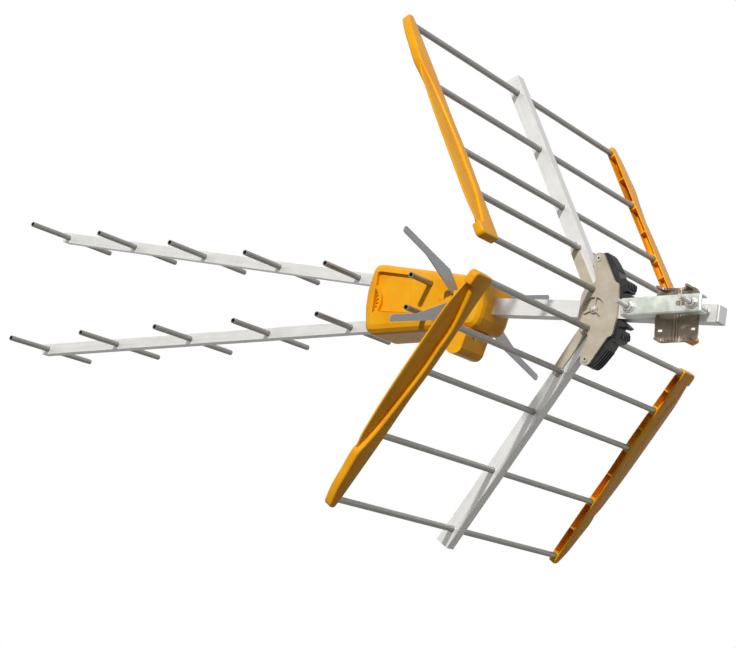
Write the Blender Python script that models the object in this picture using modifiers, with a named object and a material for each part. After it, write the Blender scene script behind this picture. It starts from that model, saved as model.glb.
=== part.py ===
"""UHF antenna with twin director booms, a boxed dipole, a folding V reflector and a mast clamp.

Units are metres. +X runs along the boom to the directors and +Z is up. The origin is on the mast's
axis, level with the boom, and the antenna's own mid-plane lies beside it at y = -MAST_OFFSET.
"""

import math

import bmesh
import bpy
from mathutils import Matrix

MM = 0.001

# Clearances
GAP = 0.3 * MM
ROD_SIDES = 16

# Main boom, a square tube
BOOM_SIZE = 22 * MM
BOOM_WALL = 1.5 * MM
BOOM_REAR_X = -52 * MM
BOOM_FRONT_X = 282 * MM
END_CAP_FLANGE = 3 * MM
END_CAP_PLUG = 10 * MM

# Director booms and rods
DIRECTOR_BOOM_SIZE = 15.5 * MM
DIRECTOR_BOOM_WALL = 1.2 * MM
DIRECTOR_SPREAD = math.radians(5.4)
DIRECTOR_START_X = 353 * MM
DIRECTOR_START_Z = 22 * MM
DIRECTOR_PITCH = 145 * MM
DIRECTOR_COUNT = 6
DIRECTOR_LENGTH = 177 * MM
DIRECTOR_BOOM_OVERHANG = 12 * MM
DIRECTOR_BOOM_TAIL = 22 * MM
ROD_RADIUS = 4 * MM
ROD_WALL = 1 * MM

# Dipole housing, two moulded half shells
HOUSING_REAR_X = 268 * MM
HOUSING_FRONT_X = 452 * MM
HOUSING_BULGE = 9 * MM
HOUSING_REAR_HALF = 34 * MM
HOUSING_FRONT_HALF = 50.5 * MM
HOUSING_SIDE_Y = 40 * MM
HOUSING_WALL = 2.5 * MM
HOUSING_EDGE = 12 * MM
HOUSING_CORNER = 13 * MM
HOUSING_SLOPE_TOP = -13 * MM
HOUSING_SLOPE = math.radians(22)
SPLIT_HALF = 0.15 * MM
SCREW_RADIUS = 1.5 * MM
SCREW_HEAD_RADIUS = 3 * MM
SCREW_HEAD_HEIGHT = 2 * MM
SCREW_SINK = 6.5 * MM
SCREW_END_Y = 30 * MM
BOSS_RADIUS = 4.5 * MM
PANEL_REAR_X = 384 * MM
PANEL_FRONT_X = 442 * MM
PANEL_LOW_Z = -18 * MM
PANEL_HIGH_Z = 38 * MM
PANEL_DEPTH = 6 * MM
RIM_CENTRE_X = 457 * MM
RIM_CENTRE_Z = -4 * MM
RIM_RADIUS = 27 * MM
RIM_WIDTH = 4 * MM
RIM_SINK = 1 * MM
RIM_DEPTH = 6.5 * MM

# Dipole plates, one V per side
DIPOLE_X = 304.4 * MM
DIPOLE_THICKNESS = 2 * MM
DIPOLE_TIP_Y = 188 * MM
DIPOLE_TIP_LOW_Z = 53.5 * MM
DIPOLE_TIP_HIGH_Z = 62 * MM
DIPOLE_KNEE_Y = 131 * MM
DIPOLE_KNEE_Z = 39 * MM
DIPOLE_SHOULDER_Y = 72 * MM
DIPOLE_SHOULDER_Z = 34 * MM
DIPOLE_ROOT_Y = 46 * MM
DIPOLE_ROOT_Z = 13 * MM
DIPOLE_TAB_Z = 8 * MM
DIPOLE_TAB_Y = 22 * MM
HOLDER_LENGTH = 26 * MM
HOLDER_HALF_HEIGHT = 9.5 * MM
HOLDER_Y = 57 * MM

# Matching board and socket inside the housing
BOARD_LENGTH = 40 * MM
BOARD_THICKNESS = 1.6 * MM
SOCKET_X = 297 * MM
SOCKET_RADIUS = 4.7 * MM
SOCKET_FLANGE_RADIUS = 7 * MM
SOCKET_BORE = 1 * MM
SOCKET_BORE_DEPTH = 8 * MM
SOCKET_END_Z = -54 * MM

# Socket cover under the housing
COVER_FRONT_X = 315 * MM
COVER_DEPTH = 37 * MM
COVER_CENTRE_Y = 12 * MM
COVER_HALF_WIDTH = 28 * MM
COVER_WALL = 2.2 * MM
COVER_EDGE = 11 * MM
CABLE_HOLE_RADIUS = 4.5 * MM
CABLE_HOLE_Y = 19 * MM
CABLE_HOLE_DROP = 10 * MM

# Hub plates on both sides of the boom
HINGE_X = 121.4 * MM
HINGE_Z = 25.5 * MM
PLATE_THICKNESS = 4 * MM
EAR_X = 118 * MM
EAR_Z = 66 * MM
EAR_RADIUS = 7.5 * MM
EAR_PIN_RADIUS = 2.5 * MM
HUB_X = 116.4 * MM
HUB_REAR_X = 83 * MM
HUB_FRONT_X = 136.5 * MM
HUB_STEP_Z = 36 * MM
HUB_STEP = 6 * MM
HUB_RECESS_RADIUS = 15.3 * MM
HUB_RECESS_DEPTH = 3 * MM
HUB_BOSS_RADIUS = 5.5 * MM
HUB_SPOKE_WIDTH = 2.4 * MM
HUB_BOLT_RADIUS = 2.5 * MM
HUB_BOLT_HEAD = 4 * MM
LOCK_HALF_WIDTH = 10.6 * MM
LOCK_NOSE_START = 19 * MM
LOCK_NOSE_END = 31 * MM

# Reflector panels: distances are along the arm, from the hinge rod outwards
PANEL_LEAN = math.radians(30.7)
ROD_STATIONS = (0.0, 65 * MM, 129 * MM, 222 * MM, 316 * MM)
ARM_WIDTH = 16 * MM
ARM_DEPTH = 20 * MM
ARM_WALL = 1.3 * MM
ARM_START = -9 * MM
ARM_END = 340 * MM
ROOT_THICKNESS = 2 * MM
ROOT_END = 74 * MM
ROOT_BACK = 1 * MM
CAP_INNER_Y = 261 * MM
CAP_WIDTH = 12 * MM
CAP_TIP_DEPTH = 35 * MM
CAP_MIDDLE_DEPTH = 14 * MM
CAP_ROOT_DEPTH = 42 * MM
CAP_ROOT_LENGTH = 20 * MM
CAP_WING_DEPTH = 42 * MM
CAP_WING_THICKNESS = 2.5 * MM
CAP_WING_FROM_REAR = 6.5 * MM
CAP_START = -7 * MM
CAP_END = 327 * MM
CAP_WALL = 1.6 * MM
CAP_SOCKET_DEPTH = 10 * MM
CAP_SOCKET_HALF = 6.5 * MM
CAP_RIB = 2 * MM
CAP_EDGE = 2.2 * MM
CAP_CORNER = 6 * MM

# Mast clamp
MAST_RADIUS = 17.5 * MM
NOTCH_CLEARANCE = 0.2 * MM
SADDLE_THICKNESS = 3 * MM
CLAMP_TILT = math.radians(5)
BRACKET_THICKNESS = 2.5 * MM
BRACKET_HEIGHT = 23 * MM
BRACKET_FLANGE = 19 * MM
BRACKET_REAR_X = -50 * MM
BRACKET_FRONT_X = 59 * MM
BRACKET_EDGE = 2.2 * MM
SADDLE_HALF_LENGTH = 29 * MM
SADDLE_TOP_Z = 30 * MM
SADDLE_BOTTOM_Z = -39 * MM
SADDLE_CORNER = 10 * MM
SADDLE_FLANGE = 18 * MM
SADDLE_SLOT = (7 * MM, 3.5 * MM)
SADDLE_SLOT_INSET = 7 * MM
TOOTH_DEPTH = 1.4 * MM
TOOTH_COUNT = 32
CLAMP_BOLT_RADIUS = 3 * MM
CLAMP_BOLT_HEAD_RADIUS = 7 * MM
CLAMP_BOLT_HEAD = 4 * MM
CLAMP_BOLT_X = (47 * MM, -37 * MM)
CLAMP_BOLT_END_Y = 86 * MM
CLAMP_SLOT_LENGTH = 24 * MM
CLAMP_NUT_RADIUS = 6.8 * MM
CLAMP_NUT_HEIGHT = 5.5 * MM

# Worked out from the values above
BOOM_HALF = BOOM_SIZE / 2
SADDLE_Y = BOOM_HALF + GAP
MAST_OFFSET = SADDLE_Y + SADDLE_THICKNESS + GAP + MAST_RADIUS
BRACKET_Y = MAST_OFFSET + MAST_RADIUS + GAP
PLATE_Y = BOOM_HALF + GAP
ROD_HOLE = ROD_RADIUS + GAP

MATERIALS = {
    "aluminium": ((0.62, 0.62, 0.60), 0.45, 1.0),
    "rod_aluminium": ((0.42, 0.42, 0.40), 0.45, 1.0),
    "yellow_plastic": ((0.90, 0.47, 0.02), 0.3, 0.0),
    "casting": ((0.66, 0.62, 0.50), 0.5, 0.3),
    "black_plastic": ((0.03, 0.03, 0.03), 0.5, 0.0),
    "plated_steel": ((0.60, 0.62, 0.60), 0.35, 1.0),
    "circuit_board": ((0.05, 0.25, 0.10), 0.5, 0.0),
}


def clear_scene():
    for found in list(bpy.data.objects):
        bpy.data.objects.remove(found, do_unlink=True)


def new_collection(name):
    collection = bpy.data.collections.new(name)
    bpy.context.scene.collection.children.link(collection)
    return collection


def make_material(name):
    colour, roughness, metallic = MATERIALS[name]
    material = bpy.data.materials.new(name)
    material.use_nodes = True
    shader = material.node_tree.nodes["Principled BSDF"]
    shader.inputs["Base Color"].default_value = (*colour, 1)
    shader.inputs["Roughness"].default_value = roughness
    shader.inputs["Metallic"].default_value = metallic
    return material


clear_scene()
antenna = new_collection("uhf_antenna")
cutters = new_collection("cutters")
materials = {name: make_material(name) for name in MATERIALS}


def make_empty(name, location, rotation=None, parent=None):
    empty = bpy.data.objects.new(name, None)
    empty.empty_display_size = 0.05
    empty.matrix_basis = Matrix.Translation(location) @ (rotation or Matrix.Identity(4))
    empty.parent = parent
    antenna.objects.link(empty)
    return empty


def add_part(name, mesh, material, parent, location=(0, 0, 0), turn_y=0.0):
    """A named piece at a place in its parent's frame."""
    part = bpy.data.objects.new(name, mesh)
    part.location = location
    part.rotation_euler = (0, turn_y, 0)
    part.parent = parent
    mesh.materials.clear()
    mesh.materials.append(materials[material])
    antenna.objects.link(part)
    return part


def add_cutter(name, mesh, like):
    """A hidden shape in the same place as the piece that it works on."""
    cutter = bpy.data.objects.new(name, mesh)
    cutter.parent = like.parent
    cutter.location = like.location
    cutter.rotation_euler = like.rotation_euler
    cutter.hide_render = True
    cutter.display_type = "WIRE"
    cutters.objects.link(cutter)
    return cutter


def combine(part, mesh, operation):
    modifier = part.modifiers.new(operation.lower(), "BOOLEAN")
    modifier.operation = operation
    modifier.object = add_cutter(f"{part.name}_{operation.lower()}_{len(part.modifiers)}", mesh, part)
    modifier.show_render = modifier.show_viewport


def cut(part, mesh):
    combine(part, mesh, "DIFFERENCE")


def join(part, mesh):
    combine(part, mesh, "UNION")


def finish_mesh(work, mesh):
    """Writes the working mesh with its faces turned outwards."""
    bmesh.ops.recalc_face_normals(work, faces=work.faces)
    if work.calc_volume(signed=True) < 0:
        bmesh.ops.reverse_faces(work, faces=work.faces)
    work.to_mesh(mesh)
    work.free()
    return mesh


def mesh_from(name, build):
    work = bmesh.new()
    build(work)
    return finish_mesh(work, bpy.data.meshes.new(name))


def boxes(name, *spans):
    """One or more separate boxes, each given as low and high corners."""

    def build(work):
        for low, high in spans:
            made = bmesh.ops.create_cube(work, size=1)
            centre = [(a + b) / 2 for a, b in zip(low, high)]
            size = [b - a for a, b in zip(low, high)]
            bmesh.ops.transform(
                work,
                matrix=Matrix.Translation(centre) @ Matrix.Diagonal((*size, 1)),
                verts=made["verts"],
            )

    return mesh_from(name, build)


def cylinders(name, radius, y_low, y_high, places, sides=ROD_SIDES, axis="Y"):
    """Separate cylinders along Y, at each (x, z), or along Z, at each (x, y)."""
    turn = Matrix.Rotation(math.radians(90), 4, "X") if axis == "Y" else Matrix.Identity(4)
    middle = (y_low + y_high) / 2

    def build(work):
        for first, second in places:
            centre = (first, middle, second) if axis == "Y" else (first, second, middle)
            bmesh.ops.create_cone(
                work,
                cap_ends=True,
                segments=sides,
                radius1=radius,
                radius2=radius,
                depth=y_high - y_low,
                matrix=Matrix.Translation(centre) @ turn,
            )

    return mesh_from(name, build)


def turned(part, sides):
    """Spins the part's profile about its local Z axis."""
    screw = part.modifiers.new("screw", "SCREW")
    screw.steps = sides
    screw.render_steps = sides
    screw.use_merge_vertices = True
    screw.merge_threshold = 0.00001


def profile_mesh(name, points):
    """A closed profile in the X-Z plane, given down its outer side."""
    mesh = bpy.data.meshes.new(name)
    edges = [(i, (i + 1) % len(points)) for i in range(len(points))]
    mesh.from_pydata([(r, 0, z) for r, z in points], edges, [])
    return mesh


def add_turned(name, points, material, parent, location, sides=ROD_SIDES, open_profile=False):
    """A turned piece whose axis lies along the parent's Y."""
    mesh = profile_mesh(name, points)
    if open_profile:
        mesh = bpy.data.meshes.new(name)
        mesh.from_pydata(
            [(r, 0, z) for r, z in points], [(i, i + 1) for i in range(len(points) - 1)], []
        )
    part = add_part(name, mesh, material, parent, location)
    part.rotation_euler = (math.radians(-90), 0, 0)
    turned(part, sides)
    return part


def filleted(corners):
    """Points of an outline whose corners (x, z, radius) are rounded."""
    points = []
    count = len(corners)
    for i, (x, z, radius) in enumerate(corners):
        before = corners[i - 1]
        after = corners[(i + 1) % count]
        if radius == 0:
            points.append((x, z))
            continue
        in_angle = math.atan2(before[1] - z, before[0] - x)
        out_angle = math.atan2(after[1] - z, after[0] - x)
        spread = (out_angle - in_angle + math.pi) % (2 * math.pi) - math.pi
        half = abs(spread) / 2
        room = min(math.dist((x, z), before[:2]), math.dist((x, z), after[:2])) * 0.48
        radius = min(radius, room * math.tan(half))
        middle = in_angle + spread / 2
        reach = radius / math.sin(half)
        cx, cz = x + reach * math.cos(middle), z + reach * math.sin(middle)
        turn = math.pi - 2 * half
        steps = max(1, round(turn / math.radians(24)))
        side = -1 if spread > 0 else 1
        start = middle + math.pi - side * turn / 2
        for step in range(steps + 1):
            angle = start + side * turn * step / steps
            points.append((cx + radius * math.cos(angle), cz + radius * math.sin(angle)))
    return points


def circle(x, z, radius, sides=ROD_SIDES):
    turn = 2 * math.pi / sides
    return [(x + radius * math.cos(i * turn), z + radius * math.sin(i * turn)) for i in range(sides)]


def slab_mesh(name, outlines, y_low, y_high):
    """A flat plate in the X-Z plane from a closed outline and the holes listed after it."""
    curve = bpy.data.curves.new(name, "CURVE")
    curve.dimensions = "2D"
    curve.fill_mode = "BOTH"
    curve.extrude = (y_high - y_low) / 2
    for outline in outlines:
        spline = curve.splines.new("POLY")
        spline.points.add(len(outline) - 1)
        spline.use_cyclic_u = True
        for point, (x, z) in zip(spline.points, outline):
            point.co = (x, z, 0, 1)
    flat = bpy.data.objects.new(name, curve)
    cutters.objects.link(flat)
    graph = bpy.context.evaluated_depsgraph_get()
    mesh = bpy.data.meshes.new_from_object(flat.evaluated_get(graph))
    bpy.data.objects.remove(flat)
    bpy.data.curves.remove(curve)
    work = bmesh.new()
    work.from_mesh(mesh)
    bmesh.ops.remove_doubles(work, verts=work.verts, dist=0.000001)
    stand = Matrix.Rotation(math.radians(90), 4, "X")
    middle = Matrix.Translation((0, (y_low + y_high) / 2, 0))
    bmesh.ops.transform(work, matrix=middle @ stand, verts=work.verts)
    return finish_mesh(work, mesh)


def bevel(part, width, segments, angle=50):
    modifier = part.modifiers.new("bevel", "BEVEL")
    modifier.width = width
    modifier.segments = segments
    modifier.limit_method = "ANGLE"
    modifier.angle_limit = math.radians(angle)


def smooth(part, angle=30):
    part.data.shade_smooth()
    part.data.set_sharp_from_angle(angle=math.radians(angle))


def make_rod_mesh(name, length):
    """A hollow rod's profile, from its outer side inwards."""
    outer, inner, half = ROD_RADIUS, ROD_RADIUS - ROD_WALL, length / 2
    return profile_mesh(name, [(outer, half), (outer, -half), (inner, -half), (inner, half)])


def add_rod(name, mesh, parent, x, z, turn_y=0.0):
    rod = add_part(name, mesh, "rod_aluminium", parent, (x, 0, z))
    rod.rotation_mode = "QUATERNION"
    turn = Matrix.Rotation(turn_y, 4, "Y") @ Matrix.Rotation(math.radians(-90), 4, "X")
    rod.rotation_quaternion = turn.to_quaternion()
    turned(rod, ROD_SIDES)
    return rod


def square_tube(name, size_y, size_z, wall, x_low, x_high, material, parent, location, turn_y):
    half_y, half_z = size_y / 2, size_z / 2
    tube = add_part(
        name,
        boxes(name, ((x_low, -half_y, -half_z), (x_high, half_y, half_z))),
        material,
        parent,
        location,
        turn_y,
    )
    over = 5 * MM
    inside = (
        (x_low - over, wall - half_y, wall - half_z),
        (x_high + over, half_y - wall, half_z - wall),
    )
    cut(tube, boxes(name + "_bore", inside))
    return tube


def make_boom(frame):
    """The main boom, with its cross holes, and the plug in its rear end."""
    boom = square_tube(
        "main_boom", BOOM_SIZE, BOOM_SIZE, BOOM_WALL, BOOM_REAR_X, BOOM_FRONT_X,
        "aluminium", frame, (0, 0, 0), 0.0,
    )
    through = BOOM_SIZE
    bolt_places = [(x * math.cos(CLAMP_TILT), -x * math.sin(CLAMP_TILT)) for x in CLAMP_BOLT_X]
    cut(boom, cylinders("clamp_holes", CLAMP_BOLT_RADIUS + GAP, -through, through, bolt_places))
    cut(boom, cylinders("hub_hole", HUB_BOLT_RADIUS + GAP, -through, through, [(HUB_X, 0)]))
    plug_half = BOOM_HALF - BOOM_WALL - GAP
    face = BOOM_REAR_X - GAP
    cap = add_part(
        "boom_end_cap",
        boxes("cap_flange", ((face - END_CAP_FLANGE, -BOOM_HALF, -BOOM_HALF), (face, BOOM_HALF, BOOM_HALF))),
        "aluminium",
        frame,
    )
    bevel(cap, 1 * MM, 2)
    plug = ((face - MM, -plug_half, -plug_half), (face + END_CAP_PLUG, plug_half, plug_half))
    join(cap, boxes("cap_plug", plug))


def make_directors(frame):
    """Both director booms and their rods. The innermost rod of each lies in the housing."""
    rod_mesh = make_rod_mesh("director_rod", DIRECTOR_LENGTH)
    reach = DIRECTOR_PITCH * (DIRECTOR_COUNT - 1) + DIRECTOR_BOOM_OVERHANG
    stations = [DIRECTOR_PITCH * i for i in range(DIRECTOR_COUNT)]
    for side, sign in (("upper", 1), ("lower", -1)):
        turn = -sign * DIRECTOR_SPREAD
        start = (DIRECTOR_START_X, 0, sign * DIRECTOR_START_Z)
        boom = square_tube(
            side + "_director_boom", DIRECTOR_BOOM_SIZE, DIRECTOR_BOOM_SIZE, DIRECTOR_BOOM_WALL,
            -DIRECTOR_BOOM_TAIL, reach, "aluminium", frame, start, turn,
        )
        through = DIRECTOR_BOOM_SIZE
        cut(boom, cylinders("rod_holes", ROD_HOLE, -through, through, [(x, 0) for x in stations]))
        for number, x in enumerate(reversed(stations), 1):
            rod_x = start[0] + x * math.cos(DIRECTOR_SPREAD)
            rod_z = start[2] + sign * x * math.sin(DIRECTOR_SPREAD)
            add_rod(f"{side}_director_{number}", rod_mesh, frame, rod_x, rod_z, turn)


def housing_half_height(x):
    share = (x - HOUSING_REAR_X) / (HOUSING_FRONT_X - HOUSING_REAR_X)
    return HOUSING_REAR_HALF + share * (HOUSING_FRONT_HALF - HOUSING_REAR_HALF)


def sloped_rear(z):
    """Where the raked rear face of the housing and its cover lies at a height."""
    return HOUSING_REAR_X + (HOUSING_SLOPE_TOP - z) * math.tan(HOUSING_SLOPE)


def housing_outline():
    nose = HOUSING_FRONT_X + HOUSING_BULGE
    return filleted([
        (HOUSING_REAR_X, HOUSING_SLOPE_TOP, 40 * MM),
        (sloped_rear(-HOUSING_REAR_HALF), -HOUSING_REAR_HALF, HOUSING_CORNER),
        (HOUSING_FRONT_X, -HOUSING_FRONT_HALF, HOUSING_CORNER),
        (nose, 0, 60 * MM),
        (HOUSING_FRONT_X, HOUSING_FRONT_HALF, HOUSING_CORNER),
        (HOUSING_REAR_X, HOUSING_REAR_HALF, HOUSING_CORNER),
    ])


def half_shell_surface(name, outline, y_open, y_side):
    """The side face and the wall round it, open at the split plane."""

    def build(work):
        ring = [work.verts.new((x, y_side, z)) for x, z in outline]
        work.faces.new(ring)
        edges = list(work.edges)
        grown = bmesh.ops.extrude_edge_only(work, edges=edges)["geom"]
        fresh = [item for item in grown if isinstance(item, bmesh.types.BMVert)]
        bmesh.ops.translate(work, vec=(0, y_open - y_side, 0), verts=fresh)

    return mesh_from(name, build)


def screw_places():
    """Where the housing screws run across, clear of the booms and the board."""
    rear_x = HOUSING_REAR_X + HOUSING_CORNER + BOSS_RADIUS
    rear_z = (BOOM_HALF + housing_half_height(rear_x)) / 2
    between_x = DIRECTOR_START_X - 17 * MM
    front_x = PANEL_FRONT_X - 4 * MM
    return [(rear_x, rear_z), (rear_x, -rear_z), (between_x, 0.0), (front_x, 0.0)]


def front_arc(radius):
    """The part of a disc at the housing's front edge that lies behind the pocket's front."""
    swing = math.acos((RIM_CENTRE_X - PANEL_FRONT_X) / radius)
    points = []
    for step in range(13):
        angle = math.pi - swing + 2 * swing * step / 12
        x = RIM_CENTRE_X + radius * math.cos(angle)
        points.append((x, RIM_CENTRE_Z + radius * math.sin(angle)))
    return points


def make_housing_shell(name, frame, side):
    """One half of the dipole housing. side is 1 on the +Y half and -1 on the other."""
    y_open, y_side = side * SPLIT_HALF, side * HOUSING_SIDE_Y
    shell = add_part(
        name, half_shell_surface(name, housing_outline(), y_open, y_side), "yellow_plastic", frame
    )
    bevel(shell, HOUSING_EDGE, 3)
    wall = shell.modifiers.new("wall", "SOLIDIFY")
    wall.thickness = HOUSING_WALL
    wall.offset = -1
    wall.use_even_offset = True

    def span(low, high):
        return tuple(sorted((side * low, side * high)))

    # Screw bosses reach from the side wall to the split
    low, high = span(SPLIT_HALF, HOUSING_SIDE_Y - HOUSING_WALL / 2)
    join(shell, cylinders("bosses", BOSS_RADIUS, low, high, screw_places(), 12))
    # Blade holder outside and pad for the side pocket inside
    low, high = span(HOUSING_SIDE_Y - HOUSING_WALL / 2, HOLDER_Y)
    holder_half = HOLDER_LENGTH / 2
    holder = slab_mesh(
        "holder",
        [filleted([
            (DIPOLE_X - holder_half, -HOLDER_HALF_HEIGHT, 5 * MM),
            (DIPOLE_X + holder_half, -HOLDER_HALF_HEIGHT, 5 * MM),
            (DIPOLE_X + holder_half, HOLDER_HALF_HEIGHT, 5 * MM),
            (DIPOLE_X - holder_half, HOLDER_HALF_HEIGHT, 5 * MM),
        ])],
        low,
        high,
    )
    join(shell, holder)
    low, high = span(HOUSING_SIDE_Y - RIM_DEPTH - HOUSING_WALL, HOUSING_SIDE_Y - HOUSING_WALL / 2)
    pad_rear, pad_front = PANEL_REAR_X - HOUSING_WALL, PANEL_FRONT_X + HOUSING_WALL
    pad_top = PANEL_HIGH_Z + HOUSING_WALL
    pad = [
        (pad_rear, -HOUSING_REAR_HALF),
        (pad_front, -HOUSING_REAR_HALF),
        (pad_front, pad_top),
        (pad_rear, pad_top - 5 * MM),
    ]
    join(shell, slab_mesh("pad", [pad], low, high))
    # Side pocket
    low, high = span(HOUSING_SIDE_Y - PANEL_DEPTH, HOUSING_SIDE_Y + 2 * MM)
    pocket = filleted([
        (PANEL_REAR_X, PANEL_LOW_Z, 2 * MM),
        (PANEL_FRONT_X, PANEL_LOW_Z, 2 * MM),
        (PANEL_FRONT_X, PANEL_HIGH_Z, 4 * MM),
        (PANEL_REAR_X, PANEL_HIGH_Z - 5 * MM, 2 * MM),
    ])
    cut(shell, slab_mesh("pocket", [pocket], low, high))
    # Curved rim round the moulded seat at the front edge
    low, high = span(HOUSING_SIDE_Y - PANEL_DEPTH - MM, HOUSING_SIDE_Y - RIM_SINK)
    join(shell, slab_mesh("rim", [front_arc(RIM_RADIUS)], low, high))
    low, high = span(HOUSING_SIDE_Y - RIM_DEPTH, HOUSING_SIDE_Y + 2 * MM)
    cut(shell, slab_mesh("seat", [front_arc(RIM_RADIUS - RIM_WIDTH)], low, high))
    # Openings for the booms, the rods, the blades, the screws and the socket
    reach = HOUSING_FRONT_X + 40 * MM
    half = BOOM_HALF + GAP
    cut(shell, boxes("boom_way", ((HOUSING_REAR_X - 20 * MM, -half, -half), (BOOM_FRONT_X, half, half))))
    for sign in (1, -1):
        turn = Matrix.Rotation(-sign * DIRECTOR_SPREAD, 4, "Y")
        half = DIRECTOR_BOOM_SIZE / 2 + GAP
        way = boxes("director_way", ((0, -half, -half), (reach - DIRECTOR_START_X, half, half)))
        way.transform(Matrix.Translation((DIRECTOR_START_X, 0, sign * DIRECTOR_START_Z)) @ turn)
        cut(shell, way)
    rods = cylinders("rod_way", ROD_HOLE, -DIRECTOR_LENGTH / 2, DIRECTOR_LENGTH / 2, [(0, 0)])
    for sign in (1, -1):
        way = rods.copy()
        turn = Matrix.Rotation(-sign * DIRECTOR_SPREAD, 4, "Y")
        way.transform(Matrix.Translation((DIRECTOR_START_X, 0, sign * DIRECTOR_START_Z)) @ turn)
        cut(shell, way)
    blade_half = DIPOLE_THICKNESS / 2 + GAP
    slot_y = DIPOLE_ROOT_Y - GAP
    tall = HOLDER_HALF_HEIGHT + 5 * MM
    low, high = span(slot_y, HOLDER_Y + 5 * MM)
    cut(shell, boxes("blade_slot", ((DIPOLE_X - blade_half, low, -tall), (DIPOLE_X + blade_half, high, tall))))
    low, high = span(SPLIT_HALF, slot_y + MM)
    tab = DIPOLE_TAB_Z + GAP
    cut(shell, boxes("tab_slot", ((DIPOLE_X - blade_half, low, -tab), (DIPOLE_X + blade_half, high, tab))))
    # The screws enter from the far side; the near shell holds their ends
    deep = SCREW_END_Y + GAP if side > 0 else 2 * HOUSING_SIDE_Y
    low, high = span(-SPLIT_HALF, deep)
    cut(shell, cylinders("screw_way", SCREW_RADIUS + GAP, low, high, screw_places(), 12))
    if side < 0:
        low, high = span(HOUSING_SIDE_Y - SCREW_SINK, HOUSING_SIDE_Y + 5 * MM)
        cut(shell, cylinders("head_way", SCREW_HEAD_RADIUS + GAP, low, high, screw_places(), 12))
    low, high = -HOUSING_FRONT_HALF - 20 * MM, -BOOM_HALF - 5 * MM
    cut(shell, cylinders("socket_way", SOCKET_RADIUS + GAP, low, high, [(SOCKET_X, 0)], 16, "Z"))
    smooth(shell)
    return shell


def make_housing(frame):
    make_housing_shell("housing_near_shell", frame, 1)
    make_housing_shell("housing_far_shell", frame, -1)
    head_y = -(HOUSING_SIDE_Y - SCREW_SINK) - GAP
    for number, (x, z) in enumerate(screw_places(), 1):
        profile = [
            (0, SCREW_END_Y),
            (SCREW_RADIUS, SCREW_END_Y),
            (SCREW_RADIUS, head_y),
            (SCREW_HEAD_RADIUS, head_y),
            (SCREW_HEAD_RADIUS, head_y - SCREW_HEAD_HEIGHT),
            (0, head_y - SCREW_HEAD_HEIGHT),
        ]
        add_turned(
            f"housing_screw_{number}", profile, "plated_steel", frame, (x, 0, z), 12, open_profile=True
        )


def blade_outline(sign):
    """Half of the V: tab, upper blade and back to the mid-line, as (y, z)."""
    return [
        (sign * DIPOLE_TAB_Y, DIPOLE_TAB_Z),
        (sign * DIPOLE_ROOT_Y, DIPOLE_TAB_Z),
        (sign * DIPOLE_ROOT_Y, DIPOLE_ROOT_Z),
        (sign * DIPOLE_SHOULDER_Y, DIPOLE_SHOULDER_Z),
        (sign * (DIPOLE_TIP_Y - 4 * MM), DIPOLE_TIP_HIGH_Z),
        (sign * (DIPOLE_TIP_Y - MM), DIPOLE_TIP_HIGH_Z - 1.5 * MM),
        (sign * DIPOLE_TIP_Y, DIPOLE_TIP_LOW_Z + 2.5 * MM),
        (sign * (DIPOLE_TIP_Y - 2 * MM), DIPOLE_TIP_LOW_Z),
        (sign * DIPOLE_KNEE_Y, DIPOLE_KNEE_Z),
    ]


def make_dipoles(frame):
    """A V of sheet on each side, its root tab reaching in to the board."""
    for name, sign in (("dipole_near", 1), ("dipole_far", -1)):
        upper = blade_outline(1)
        notch = (DIPOLE_ROOT_Y + MM, 0.0)
        outline = upper + [notch] + [(y, -z) for y, z in reversed(upper)]
        half = DIPOLE_THICKNESS / 2
        mesh = slab_mesh(name, [outline], -half, half)
        mesh.transform(Matrix.Translation((DIPOLE_X, 0, 0)) @ Matrix.Rotation(
            math.radians(90) * sign, 4, "Z"))
        add_part(name, mesh, "aluminium", frame)


def make_socket(frame):
    """The matching board between the blade tabs and the socket that hangs from it."""
    half_x, half_y = BOARD_LENGTH / 2, DIPOLE_TAB_Y - GAP
    half_z = BOARD_THICKNESS / 2
    board_x = DIPOLE_X + 2 * MM
    board = ((board_x - half_x, -half_y, -half_z), (board_x + half_x, half_y, half_z))
    add_part("matching_board", boxes("matching_board", board), "circuit_board", frame)
    top = -half_z - GAP
    seat = -housing_half_height(SOCKET_X) - 3 * MM
    profile = [
        (0, top),
        (SOCKET_RADIUS, top),
        (SOCKET_RADIUS, seat),
        (SOCKET_FLANGE_RADIUS, seat),
        (SOCKET_FLANGE_RADIUS, seat - 2 * MM),
        (SOCKET_RADIUS, seat - 2 * MM),
        (SOCKET_RADIUS, SOCKET_END_Z),
        (SOCKET_BORE, SOCKET_END_Z),
        (SOCKET_BORE, SOCKET_END_Z + SOCKET_BORE_DEPTH),
        (0, SOCKET_END_Z + SOCKET_BORE_DEPTH),
    ]
    mesh = bpy.data.meshes.new("f_connector")
    mesh.from_pydata(
        [(r, 0, z) for r, z in profile], [(i, i + 1) for i in range(len(profile) - 1)], []
    )
    socket = add_part("f_connector", mesh, "plated_steel", frame, (SOCKET_X, 0, 0))
    turned(socket, ROD_SIDES)


def cover_outline(inset, rise):
    """The cover seen from the side. rise lifts its open top, for the cutter that hollows it."""
    front = COVER_FRONT_X - inset
    top = -housing_half_height(HOUSING_REAR_X) - GAP
    rear = sloped_rear(top) + HOUSING_CORNER * 0.5 + inset
    bottom = top - COVER_DEPTH + inset
    rear_top = -housing_half_height(rear) - GAP + rise
    front_top = -housing_half_height(front) - GAP + rise
    rounding = COVER_EDGE - inset
    return filleted([
        (rear, rear_top, 0),
        (sloped_rear(bottom) + inset, bottom, rounding),
        (front, bottom, rounding),
        (front, front_top, 0),
    ])


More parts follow.
